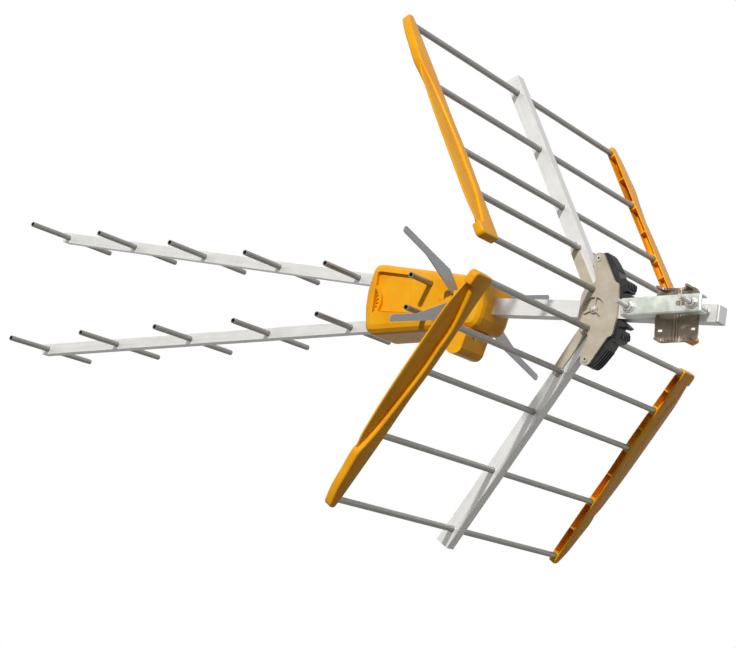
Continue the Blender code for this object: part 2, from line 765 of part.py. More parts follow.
def rounded_underside(name, outline, half_width, radius):
    """A block from a side outline, with its lower corners rounded across the width, about COVER_CENTRE_Y."""
    lowest = min(z for _, z in outline)
    slab = slab_mesh(name, [outline], -half_width, half_width)
    work = bmesh.new()
    work.from_mesh(slab)
    top = max(z for _, z in outline)
    sides = [
        edge for edge in work.edges
        if abs(abs(edge.verts[0].co.y) - half_width) < 0.00001
        and abs(edge.verts[0].co.y - edge.verts[1].co.y) < 0.00001
        and len({round(face.normal.y, 3) for face in edge.link_faces}) > 1
        and not all(vert.co.z > top - 8 * MM for vert in edge.verts)
    ]
    bmesh.ops.bevel(
        work, geom=sides, offset=radius, segments=3, profile=0.5, affect="EDGES", clamp_overlap=True
    )
    bmesh.ops.translate(work, vec=(0, COVER_CENTRE_Y, 0), verts=work.verts)
    return finish_mesh(work, slab)


def make_cover(frame):
    """The rounded cover under the housing, open at the top, with a cable hole at the rear."""
    body = rounded_underside("connector_cover", cover_outline(0, 0), COVER_HALF_WIDTH, COVER_EDGE)
    cover = add_part("connector_cover", body, "yellow_plastic", frame)
    inside = rounded_underside(
        "cover_inside", cover_outline(COVER_WALL, 12 * MM),
        COVER_HALF_WIDTH - COVER_WALL, COVER_EDGE - COVER_WALL,
    )
    cut(cover, inside)
    hole = cylinders("cable_hole", CABLE_HOLE_RADIUS, -20 * MM, 20 * MM, [(0, 0)], 12)
    height = -HOUSING_REAR_HALF - CABLE_HOLE_DROP
    hole.transform(
        Matrix.Translation((sloped_rear(height), CABLE_HOLE_Y, height))
        @ Matrix.Rotation(math.radians(90), 4, "Z")
    )
    cut(cover, hole)
    smooth(cover)


def hub_outline():
    """The crescent plate: rear edge, ear, limb and hinge lobe, mirrored about the boom."""
    lobe = ROD_RADIUS + 4 * MM
    upper = [
        (HUB_REAR_X - MM, HUB_STEP_Z * 0.35, 12 * MM),
        (HUB_REAR_X + 2 * MM, HUB_STEP_Z - 2 * MM, 4 * MM),
        (HUB_REAR_X + 2 * MM + HUB_STEP, HUB_STEP_Z, 6 * MM),
        (EAR_X - EAR_RADIUS - 3 * MM, EAR_Z - 2 * MM, 12 * MM),
        (EAR_X - EAR_RADIUS * 0.7, EAR_Z + EAR_RADIUS, EAR_RADIUS),
        (EAR_X + EAR_RADIUS, EAR_Z + EAR_RADIUS, EAR_RADIUS),
        (EAR_X + EAR_RADIUS, EAR_Z - EAR_RADIUS, 10 * MM),
        (HINGE_X - 4 * MM, HINGE_Z + lobe, 4 * MM),
        (HINGE_X + lobe, HINGE_Z + lobe * 0.8, lobe),
        (HUB_FRONT_X, HINGE_Z - lobe, 12 * MM),
    ]
    lower = [(x, -z, radius) for x, z, radius in reversed(upper)]
    return filleted(upper + lower)


def make_hub_plate(name, frame, side):
    y_low, y_high = sorted((side * PLATE_Y, side * (PLATE_Y + PLATE_THICKNESS)))
    holes = [circle(EAR_X, sign * EAR_Z, EAR_PIN_RADIUS + GAP, 12) for sign in (1, -1)]
    holes += [circle(HINGE_X, sign * HINGE_Z, ROD_HOLE) for sign in (1, -1)]
    holes.append(circle(HUB_X, 0, HUB_BOLT_RADIUS + GAP, 12))
    plate = add_part(name, slab_mesh(name, [hub_outline()] + holes, y_low, y_high), "casting", frame)
    outer = PLATE_Y + PLATE_THICKNESS
    low, high = sorted((side * (outer - HUB_RECESS_DEPTH), side * (outer + 2 * MM)))
    third = 2 * math.pi / 3
    for number in range(3):
        start = math.radians(96) + number * third
        cut(plate, slab_mesh("recess", [recess_sector(start, start + third)], low, high))
    smooth(plate)
    return plate


def recess_sector(start, end):
    """A third of the round recess, less half a spoke at each side and the boss in the middle."""
    points = []
    for radius, first, last in ((HUB_RECESS_RADIUS, start, end), (HUB_BOSS_RADIUS, end, start)):
        trim = math.asin(HUB_SPOKE_WIDTH / 2 / radius) * (1 if last > first else -1)
        for step in range(7):
            angle = (first + trim) + (last - first - 2 * trim) * step / 6
            points.append((HUB_X + radius * math.cos(angle), radius * math.sin(angle)))
    return points


def make_hub(frame):
    make_hub_plate("hub_near_plate", frame, 1)
    make_hub_plate("hub_far_plate", frame, -1)
    outer = PLATE_Y + PLATE_THICKNESS + GAP
    bolt = [
        (0, outer + 2.5 * MM),
        (HUB_BOLT_HEAD * 0.6, outer + 2.3 * MM),
        (HUB_BOLT_HEAD, outer + MM),
        (HUB_BOLT_HEAD, outer),
        (HUB_BOLT_RADIUS, outer),
        (HUB_BOLT_RADIUS, -outer - 7 * MM),
        (0, -outer - 7 * MM),
    ]
    add_turned("hub_bolt", bolt, "plated_steel", frame, (HUB_X, 0, 0), 12, open_profile=True)
    add_nut("hub_nut", frame, HUB_X, 0, -outer - 4 * MM, -outer, HUB_BOLT_RADIUS, 4.6 * MM)


def add_nut(name, parent, x, z, y_low, y_high, bore, radius):
    mesh = slab_mesh(name, [circle(x, z, radius, 6), circle(x, z, bore + GAP, 12)], y_low, y_high)
    nut = add_part(name, mesh, "plated_steel", parent)
    return nut


def arm_rear_point(distance, clear):
    """A point behind the arm's rear face, at a distance out from the hinge."""
    back = ARM_DEPTH / 2 + clear
    x = HINGE_X + distance * math.sin(PANEL_LEAN) - back * math.cos(PANEL_LEAN)
    z = HINGE_Z + distance * math.cos(PANEL_LEAN) + back * math.sin(PANEL_LEAN)
    return x, z


def lock_outline():
    """The lock: nose behind the arm, body round the ear pin, thumb block and finger hook."""
    nose_low = arm_rear_point(LOCK_NOSE_START, GAP)
    nose_high = arm_rear_point(LOCK_NOSE_END, GAP)
    back = HUB_REAR_X
    step = HUB_STEP_Z
    under = BOOM_HALF + GAP + 1.5 * MM
    return filleted([
        (*nose_low, 1 * MM),
        (*nose_high, 2 * MM),
        (EAR_X + EAR_RADIUS - 2 * MM, EAR_Z + 3 * MM, 3 * MM),
        (EAR_X, EAR_Z + EAR_RADIUS + 0.5 * MM, 5 * MM),
        (EAR_X - 8 * MM, EAR_Z + EAR_RADIUS + 0.5 * MM, 5 * MM),
        (EAR_X - 17 * MM, EAR_Z - MM, 8 * MM),
        (back + 8 * MM, step + 15 * MM, 8 * MM),
        (back + 3 * MM, step + 5.5 * MM, 1 * MM),
        (back - 3 * MM, step + 5 * MM, 2 * MM),
        (back - 8 * MM, step + 2.5 * MM, 2.5 * MM),
        (back - 10.5 * MM, step - 11 * MM, 2.5 * MM),
        (back - 3 * MM, step - 12 * MM, 1 * MM),
        (back - 3 * MM, step - 15.5 * MM, 2 * MM),
        (back - 10 * MM, step - 14 * MM, 2 * MM),
        (back - 15.5 * MM, step - 16 * MM, 1 * MM),
        (back - 6 * MM, under, 2 * MM),
        (back + 6 * MM, under, 3 * MM),
        (back + 10 * MM, step - 6 * MM, 6 * MM),
        (EAR_X - EAR_RADIUS, EAR_Z - 20 * MM, 6 * MM),
    ])


def make_locks(frame, mirrored):
    for side, parent in (("upper", frame), ("lower", mirrored)):
        hole = circle(EAR_X, EAR_Z, EAR_PIN_RADIUS + GAP, 12)
        mesh = slab_mesh(side + "_lock", [lock_outline(), hole], -LOCK_HALF_WIDTH, LOCK_HALF_WIDTH)
        add_part(side + "_lock", mesh, "black_plastic", parent)
        outer = PLATE_Y + PLATE_THICKNESS + GAP
        head = EAR_PIN_RADIUS + 1.2 * MM
        bore = EAR_PIN_RADIUS - MM
        rivet = [
            (head, outer + MM),
            (head, outer),
            (EAR_PIN_RADIUS, outer),
            (EAR_PIN_RADIUS, -outer),
            (head, -outer),
            (head, -outer - MM),
            (bore, -outer - MM),
            (bore, outer + MM),
        ]
        add_turned(side + "_lock_pin", rivet, "plated_steel", parent, (EAR_X, 0, EAR_Z), 12)


def make_arm(name, parent):
    """The arm's square channel, with the rod holes across it."""
    half_y, half_x = ARM_WIDTH / 2, ARM_DEPTH / 2
    arm = add_part(
        name, boxes(name, ((-half_x, -half_y, ARM_START), (half_x, half_y, ARM_END))), "aluminium", parent
    )
    over = 5 * MM
    inside = (
        (ARM_WALL - half_x, ARM_WALL - half_y, ARM_START - over),
        (half_x - ARM_WALL, half_y - ARM_WALL, ARM_END + over),
    )
    cut(arm, boxes("arm_bore", inside))
    cut(arm, cylinders("arm_holes", ROD_HOLE, -ARM_WIDTH, ARM_WIDTH, [(0, z) for z in ROD_STATIONS]))
    return arm


def make_root(name, parent):
    """The cast root: a curved web in front of the arm and a cheek on each side of it."""
    front = ARM_DEPTH / 2 + GAP + ROOT_THICKNESS
    outer = ARM_WIDTH / 2 + GAP + ROOT_THICKNESS
    around = [
        (front * math.sin(math.radians(angle)), -front * math.cos(math.radians(angle)))
        for angle in range(0, 91, 15)
    ]
    side = around + [
        (front, 20 * MM),
        (front - MM, ROOT_END - 12 * MM),
        (front - 5 * MM, ROOT_END),
        (-ROOT_BACK, ROOT_END),
        (-ROOT_BACK, -front),
    ]
    root = add_part(name, slab_mesh(name, [side], -outer, outer), "casting", parent)
    half_y, half_x = ARM_WIDTH / 2 + GAP, ARM_DEPTH / 2 + GAP
    cut(root, boxes("root_inside", ((-2 * front, -half_y, -2 * front), (half_x, half_y, 2 * ROOT_END))))
    places = [(0, station) for station in ROD_STATIONS[:2]]
    cut(root, cylinders("root_holes", ROD_HOLE, -2 * outer, 2 * outer, places))
    return root


def cap_outlines(side):
    """Outlines of a cap in (y, z): its thick body, deep at both ends, and the thin wing that fills its waist."""
    inner = CAP_INNER_Y
    waist = inner + CAP_MIDDLE_DEPTH
    tip = inner + CAP_TIP_DEPTH
    root = inner + CAP_ROOT_DEPTH
    wing = inner + CAP_WING_DEPTH
    root_end = CAP_START + CAP_ROOT_LENGTH
    _first, second, third, fourth, _last = ROD_STATIONS
    tip_start = fourth + CAP_SOCKET_HALF + 0.2 * CAP_TIP_DEPTH
    body = [
        (inner, CAP_START, 0),
        (root, CAP_START, CAP_CORNER / 2),
        (root, root_end, CAP_CORNER / 2),
        ((root + 2 * waist) / 3, root_end, CAP_CORNER / 3),
        (waist, second, 0),
        (waist + 0.05 * CAP_TIP_DEPTH, third, 0),
        ((waist + tip) / 2 - 0.05 * CAP_TIP_DEPTH, (third + 5 * fourth) / 6, 0),
        (tip, tip_start, 0),
        (tip, CAP_END, CAP_CORNER),
        (inner, CAP_END, CAP_CORNER / 3),
    ]
    wing_edge = [
        ((inner + waist) / 2, (CAP_START + root_end) / 2, 0),
        (wing - 0.12 * CAP_WING_DEPTH, (CAP_START + root_end) / 2, 0),
        (wing - 0.06 * CAP_WING_DEPTH, second, 0),
        (wing, (second + third) / 2, 0),
        (wing, (third + fourth) / 2, 0),
        (tip - CAP_EDGE, tip_start + 0.2 * CAP_TIP_DEPTH, 0),
        ((inner + waist) / 2, tip_start, 0),
    ]
    return [[(side * y, z) for y, z in filleted(outline)] for outline in (body, wing_edge)]


def upright(mesh):
    """Turns a slab drawn in (x, z) so that its outline lies in (y, z) and its thickness runs along X."""
    mesh.transform(Matrix.Rotation(math.radians(90), 4, "Z"))
    return mesh


def make_cap(name, parent, side, rear):
    """A moulded strip over the rod ends, with pockets and ribs on its inner side.

    The four caps are one moulding, so its wing lies nearer the rear, or the front, as rear says."""
    half = CAP_WIDTH / 2
    body, wing = cap_outlines(side)
    cap = add_part(name, upright(slab_mesh(name, [body], -half, half)), "yellow_plastic", parent)
    bevel(cap, CAP_EDGE, 2)
    low, high = sorted((rear * (half - CAP_WING_FROM_REAR), rear * (half - CAP_WING_FROM_REAR - CAP_WING_THICKNESS)))
    join(cap, upright(slab_mesh("cap_wing", [wing], low, high)))
    pockets = []
    for inner, outer in zip(ROD_STATIONS, ROD_STATIONS[1:]):
        start, end = inner + CAP_SOCKET_HALF, outer - CAP_SOCKET_HALF
        middle = (start + end) / 2
        depth = (CAP_TIP_DEPTH if inner == ROD_STATIONS[-2] else CAP_MIDDLE_DEPTH) - CAP_WALL - CAP_EDGE / 2
        for first, last in ((start, middle - CAP_RIB / 2), (middle + CAP_RIB / 2, end)):
            y_low, y_high = sorted((side * (CAP_INNER_Y - 5 * MM), side * (CAP_INNER_Y + depth)))
            pockets.append(((CAP_WALL - half, y_low, first), (half - CAP_WALL, y_high, last)))
    cut(cap, boxes("cap_pockets", *pockets))
    y_low, y_high = sorted((side * (CAP_INNER_Y - 5 * MM), side * (CAP_INNER_Y + CAP_SOCKET_DEPTH)))
    cut(cap, cylinders("cap_sockets", ROD_HOLE, y_low, y_high, [(0, z) for z in ROD_STATIONS]))
    smooth(cap)
    return cap


def make_panel(side, hinge, near_sign):
    """One reflector panel in its hinge's frame: local Z runs out along the arm, local X forwards."""
    make_arm(side + "_arm", hinge)
    make_root(side + "_arm_root", hinge)
    length = 2 * (CAP_INNER_Y + CAP_SOCKET_DEPTH - GAP)
    rod_mesh = make_rod_mesh("reflector_rod", length)
    for number, station in enumerate(reversed(ROD_STATIONS), 1):
        add_rod(f"{side}_reflector_{number}", rod_mesh, hinge, 0, station)
    make_cap(side + "_near_cap", hinge, near_sign, near_sign)
    make_cap(side + "_far_cap", hinge, -near_sign, -near_sign)


def make_bracket(clamp):
    """The folded bracket outside the mast: web, two flanges and the mast's notch."""
    half = BRACKET_HEIGHT / 2
    outer = BRACKET_Y + BRACKET_THICKNESS
    inner = outer - BRACKET_FLANGE
    bracket = add_part(
        "mast_bracket",
        boxes("mast_bracket", ((BRACKET_REAR_X, inner, -half), (BRACKET_FRONT_X, outer, half))),
        "plated_steel",
        clamp,
    )
    bevel(bracket, BRACKET_EDGE, 2)
    thick = BRACKET_THICKNESS
    inside = (
        (BRACKET_REAR_X - 5 * MM, inner - 5 * MM, thick - half),
        (BRACKET_FRONT_X + 5 * MM, BRACKET_Y, half - thick),
    )
    cut(bracket, boxes("bracket_inside", inside))
    cut(bracket, toothed_notch("mast_notch", -BRACKET_HEIGHT, BRACKET_HEIGHT))
    front_x, rear_x = CLAMP_BOLT_X
    radius = CLAMP_BOLT_RADIUS + GAP
    cut(bracket, cylinders("bolt_hole", radius, inner, outer + 5 * MM, [(front_x, 0)]))
    slot = filleted([
        (rear_x - radius, -radius, radius),
        (rear_x - radius + CLAMP_SLOT_LENGTH, -radius, radius),
        (rear_x - radius + CLAMP_SLOT_LENGTH, radius, radius),
        (rear_x - radius, radius, radius),
    ])
    cut(bracket, slab_mesh("bolt_slot", [slot], inner, outer + 5 * MM))


def toothed_notch(name, z_low, z_high):
    """The mast's place, with small teeth round it that bite on the tube."""
    points = []
    for step in range(2 * TOOTH_COUNT):
        angle = math.pi * step / TOOTH_COUNT
        radius = MAST_RADIUS + NOTCH_CLEARANCE + (TOOTH_DEPTH if step % 2 else 0)
        points.append((radius * math.cos(angle), MAST_OFFSET + radius * math.sin(angle)))
    mesh = slab_mesh(name, [points], -z_high, -z_low)
    mesh.transform(Matrix.Rotation(math.radians(-90), 4, "X"))
    return mesh


def make_saddle(clamp):
    """The saddle between boom and mast: a rounded plate with a toothed flange at top and bottom."""
    reach, corner, thick = SADDLE_HALF_LENGTH, SADDLE_CORNER, SADDLE_THICKNESS
    outline = filleted([
        (-reach, SADDLE_BOTTOM_Z, corner),
        (reach, SADDLE_BOTTOM_Z, corner),
        (reach, SADDLE_TOP_Z, corner),
        (-reach, SADDLE_TOP_Z, corner),
    ])
    plate = slab_mesh("mast_saddle", [outline], SADDLE_Y, SADDLE_Y + thick)
    saddle = add_part("mast_saddle", plate, "plated_steel", clamp)
    wide = reach - corner * 0.8
    start, end = SADDLE_Y + thick / 2, SADDLE_Y + thick + SADDLE_FLANGE
    inset = GAP
    join(saddle, boxes(
        "saddle_flanges",
        ((-wide, start, SADDLE_TOP_Z - inset - thick), (wide, end, SADDLE_TOP_Z - inset)),
        ((-wide, start, SADDLE_BOTTOM_Z + inset), (wide, end, SADDLE_BOTTOM_Z + inset + thick)),
    ))
    cut(saddle, toothed_notch("saddle_notch", SADDLE_BOTTOM_Z - 5 * MM, SADDLE_TOP_Z + 5 * MM))
    long, high = SADDLE_SLOT
    middle = reach - SADDLE_SLOT_INSET
    low = SADDLE_BOTTOM_Z + 2 * SADDLE_SLOT_INSET
    cut(saddle, boxes("saddle_slots", *[
        ((x - long / 2, 0, low), (x + long / 2, end, low + high)) for x in (-middle, middle)
    ]))


def make_clamp_bolts(clamp):
    """Round-headed bolts through the boom, with their nuts outside the bracket."""
    head_y = -BOOM_HALF - GAP
    face = BRACKET_Y + BRACKET_THICKNESS + GAP
    for place, x in zip(("front", "rear"), CLAMP_BOLT_X):
        bolt = [
            (0, CLAMP_BOLT_END_Y),
            (CLAMP_BOLT_RADIUS, CLAMP_BOLT_END_Y),
            (CLAMP_BOLT_RADIUS, head_y),
            (CLAMP_BOLT_HEAD_RADIUS, head_y),
            (CLAMP_BOLT_HEAD_RADIUS, head_y - CLAMP_BOLT_HEAD * 0.4),
            (CLAMP_BOLT_HEAD_RADIUS * 0.6, head_y - CLAMP_BOLT_HEAD),
            (0, head_y - CLAMP_BOLT_HEAD),
        ]
        add_turned(
            place + "_clamp_bolt", bolt, "plated_steel", clamp, (x, 0, 0), 12, open_profile=True
        )
        add_nut(
            place + "_clamp_nut", clamp, x, 0, face, face + CLAMP_NUT_HEIGHT,
            CLAMP_BOLT_RADIUS, CLAMP_NUT_RADIUS,
        )


def main():
    flip = Matrix.Rotation(math.pi, 4, "X")
    frame = make_empty("antenna_frame", (0, -MAST_OFFSET, 0))
    mirrored = make_empty("lower_side", (0, 0, 0), flip, frame)
    lean = Matrix.Rotation(PANEL_LEAN, 4, "Y")
    upper_hinge = make_empty("upper_hinge", (HINGE_X, 0, HINGE_Z), lean, frame)
    lower_hinge = make_empty("lower_hinge", (HINGE_X, 0, HINGE_Z), lean, mirrored)
    clamp = make_empty("mast_clamp", (0, 0, 0), Matrix.Rotation(CLAMP_TILT, 4, "Y"), frame)
    make_boom(frame)
    make_directors(frame)
    make_housing(frame)
    make_dipoles(frame)
    make_socket(frame)
    make_cover(frame)
    make_hub(frame)
    make_locks(frame, mirrored)
    make_panel("upper", upper_hinge, 1)
    make_panel("lower", lower_hinge, -1)
    make_bracket(clamp)
    make_saddle(clamp)
    make_clamp_bolts(clamp)


main()
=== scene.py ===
import math

import bmesh
import bpy
from mathutils import Matrix, Vector


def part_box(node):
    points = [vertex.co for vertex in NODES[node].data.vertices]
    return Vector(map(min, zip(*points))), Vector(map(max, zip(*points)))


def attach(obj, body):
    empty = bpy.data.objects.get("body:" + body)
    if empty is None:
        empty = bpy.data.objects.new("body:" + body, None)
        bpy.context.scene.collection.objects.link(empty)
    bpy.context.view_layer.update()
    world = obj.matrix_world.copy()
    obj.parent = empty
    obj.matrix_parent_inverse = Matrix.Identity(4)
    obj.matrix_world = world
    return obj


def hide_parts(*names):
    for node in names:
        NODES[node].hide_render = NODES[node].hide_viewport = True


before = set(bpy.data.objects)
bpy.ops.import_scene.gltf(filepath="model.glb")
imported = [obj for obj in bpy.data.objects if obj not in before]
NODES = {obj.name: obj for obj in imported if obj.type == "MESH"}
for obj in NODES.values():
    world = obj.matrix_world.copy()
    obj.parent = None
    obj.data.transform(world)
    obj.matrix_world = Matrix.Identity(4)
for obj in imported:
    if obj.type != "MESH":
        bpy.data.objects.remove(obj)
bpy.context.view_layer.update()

# Lengths are in metres, except where a comment says millimetres.

# The camera, solved from the ends of the rods in the photo. Its lens and sensor are in millimetres.
CAMERA_PLACE = Vector((-1.0258, 2.0162, -0.4509))
CAMERA_RIGHT = Vector((-0.81199, -0.56241, 0.15613))
CAMERA_UP = Vector((0.03192, 0.22430, 0.97400))
CAMERA_LENS = 90.71
CAMERA_SENSOR = 36.0
CAMERA_CLIP = (0.05, 60.0)

# How far along X the middle of the aerial is
MIDDLE_X = 0.45

SUN_FROM = Vector((-0.20, 0.84, 0.50))
SUN_POWER = 2.75
SUN_ANGLE = math.radians(3.0)
SUN_COLOUR = (1.0, 0.975, 0.94)
FILL_PLACE = Vector((-1.9, 1.6, 1.9))
FILL_POWER = 12.0
FILL_SIZE = 2.2
FILL_COLOUR = (0.94, 0.97, 1.0)
SKY_POWER = 0.18
SKY_COLOUR = (1.0, 0.955, 0.89, 1.0)

FLOOR_Z = -0.95
FLOOR_RADIUS = 9.0
FLOOR_SEGMENTS = 96
FLOOR_DULL = (0.20, 0.20, 0.20, 1.0)
FLOOR_PALE = (0.88, 0.88, 0.87, 1.0)
# The distances from the floor's middle between which it turns into the white backdrop
FLOOR_FADE = (1.6, 5.0)

WHITE = (1.0, 1.0, 1.0)
OPAQUE_WHITE = (*WHITE, 1.0)

# Each reflector panel leans forward by the first angle, each director boom turns out by the second.
PANEL_LEAN = math.radians(30.7)
BOOM_SPREAD = math.radians(5.4)

UP, DOWN = 1.0, -1.0
NEAR, FAR = 1.0, -1.0


# ---------------------------------------------------------------- camera, light and stage

def add_object(name, data):
    made = bpy.data.objects.new(name, data)
    bpy.context.scene.collection.objects.link(made)
    return made


def make_camera():
    data = bpy.data.cameras.new("photo_camera")
    data.lens = CAMERA_LENS
    data.sensor_width = CAMERA_SENSOR
    data.sensor_fit = "HORIZONTAL"
    data.clip_start, data.clip_end = CAMERA_CLIP
    camera = add_object("photo_camera", data)
    back = CAMERA_RIGHT.cross(CAMERA_UP)
    turn = Matrix((CAMERA_RIGHT, CAMERA_UP, back)).transposed().to_4x4()
    camera.matrix_world = Matrix.Translation(CAMERA_PLACE) @ turn
    bpy.context.scene.camera = camera


def shine_from(lamp, direction):
    lamp.rotation_mode = "QUATERNION"
    lamp.rotation_quaternion = direction.to_track_quat("Z", "Y")


def make_lamps():
    sun = bpy.data.lights.new("key", "SUN")
    sun.energy = SUN_POWER
    sun.angle = SUN_ANGLE
    sun.color = SUN_COLOUR
    shine_from(add_object("key", sun), SUN_FROM)
    area = bpy.data.lights.new("soft_fill", "AREA")
    area.shape = "DISK"
    area.size = FILL_SIZE
    area.energy = FILL_POWER
    area.color = FILL_COLOUR
    fill = add_object("soft_fill", area)
    fill.location = FILL_PLACE
    shine_from(fill, FILL_PLACE - Vector((MIDDLE_X, 0.0, 0.0)))


def seen_directly(nodes, links):
    """One where a ray from the camera, through glass or off a mirror meets the backdrop, else nought."""
    path = nodes.new("ShaderNodeLightPath")
    first = nodes.new("ShaderNodeMath")
    first.operation = "MAXIMUM"
    links.new(path.outputs["Is Camera Ray"], first.inputs[0])
    links.new(path.outputs["Is Transmission Ray"], first.inputs[1])
    every = nodes.new("ShaderNodeMath")
    every.operation = "MAXIMUM"
    links.new(first.outputs[0], every.inputs[0])
    links.new(path.outputs["Is Glossy Ray"], every.inputs[1])
    return every


def make_world():
    """A soft warm sky for the light, and a white backdrop where it is seen."""
    world = bpy.data.worlds.new("studio")
    bpy.context.scene.world = world
    world.use_nodes = True
    tree = world.node_tree
    tree.nodes.clear()
    out = tree.nodes.new("ShaderNodeOutputWorld")
    mix = tree.nodes.new("ShaderNodeMixShader")
    light = tree.nodes.new("ShaderNodeBackground")
    light.inputs["Color"].default_value = SKY_COLOUR
    light.inputs["Strength"].default_value = SKY_POWER
    white = tree.nodes.new("ShaderNodeBackground")
    white.inputs["Color"].default_value = OPAQUE_WHITE
    white.inputs["Strength"].default_value = 1.0
    shown = seen_directly(tree.nodes, tree.links)
    tree.links.new(shown.outputs[0], mix.inputs["Fac"])
    tree.links.new(light.outputs[0], mix.inputs[1])
    tree.links.new(white.outputs[0], mix.inputs[2])
    tree.links.new(mix.outputs[0], out.inputs["Surface"])


def floor_material():
    """Pale paint where it is seen, fading to white further out, and dull paint for the light it sends up."""
    material = bpy.data.materials.new("floor")
    material.use_nodes = True
    tree = material.node_tree
    tree.nodes.clear()
    out = tree.nodes.new("ShaderNodeOutputMaterial")
    dull = tree.nodes.new("ShaderNodeBsdfDiffuse")
    dull.inputs["Color"].default_value = FLOOR_DULL
    pale = tree.nodes.new("ShaderNodeBsdfDiffuse")
    pale.inputs["Color"].default_value = FLOOR_PALE
    paint = tree.nodes.new("ShaderNodeMixShader")
    glow = tree.nodes.new("ShaderNodeEmission")
    glow.inputs["Color"].default_value = OPAQUE_WHITE
    place = tree.nodes.new("ShaderNodeTexCoord")
    length = tree.nodes.new("ShaderNodeVectorMath")
    length.operation = "LENGTH"
    fade = tree.nodes.new("ShaderNodeMapRange")
    fade.interpolation_type = "SMOOTHSTEP"
    fade.inputs["From Min"].default_value, fade.inputs["From Max"].default_value = FLOOR_FADE
    shown = seen_directly(tree.nodes, tree.links)
    both = tree.nodes.new("ShaderNodeMath")
    both.operation = "MULTIPLY"
    mix = tree.nodes.new("ShaderNodeMixShader")
    tree.links.new(place.outputs["Object"], length.inputs[0])
    tree.links.new(length.outputs["Value"], fade.inputs["Value"])
    tree.links.new(fade.outputs["Result"], both.inputs[0])
    tree.links.new(shown.outputs[0], both.inputs[1])
    tree.links.new(both.outputs[0], mix.inputs["Fac"])
    tree.links.new(shown.outputs[0], paint.inputs["Fac"])
    tree.links.new(dull.outputs[0], paint.inputs[1])
    tree.links.new(pale.outputs[0], paint.inputs[2])
    tree.links.new(paint.outputs[0], mix.inputs[1])
    tree.links.new(glow.outputs[0], mix.inputs[2])
    tree.links.new(mix.outputs[0], out.inputs["Surface"])
    return material


def make_floor():
    mesh = bpy.data.meshes.new("floor")
    bm = bmesh.new()
    bmesh.ops.create_circle(bm, cap_ends=True, segments=FLOOR_SEGMENTS, radius=FLOOR_RADIUS)
    bm.to_mesh(mesh)
    bm.free()
    floor = add_object("floor", mesh)
    floor.location = (MIDDLE_X, 0.0, FLOOR_Z)
    floor.data.materials.append(floor_material())


# ---------------------------------------------------------------- materials

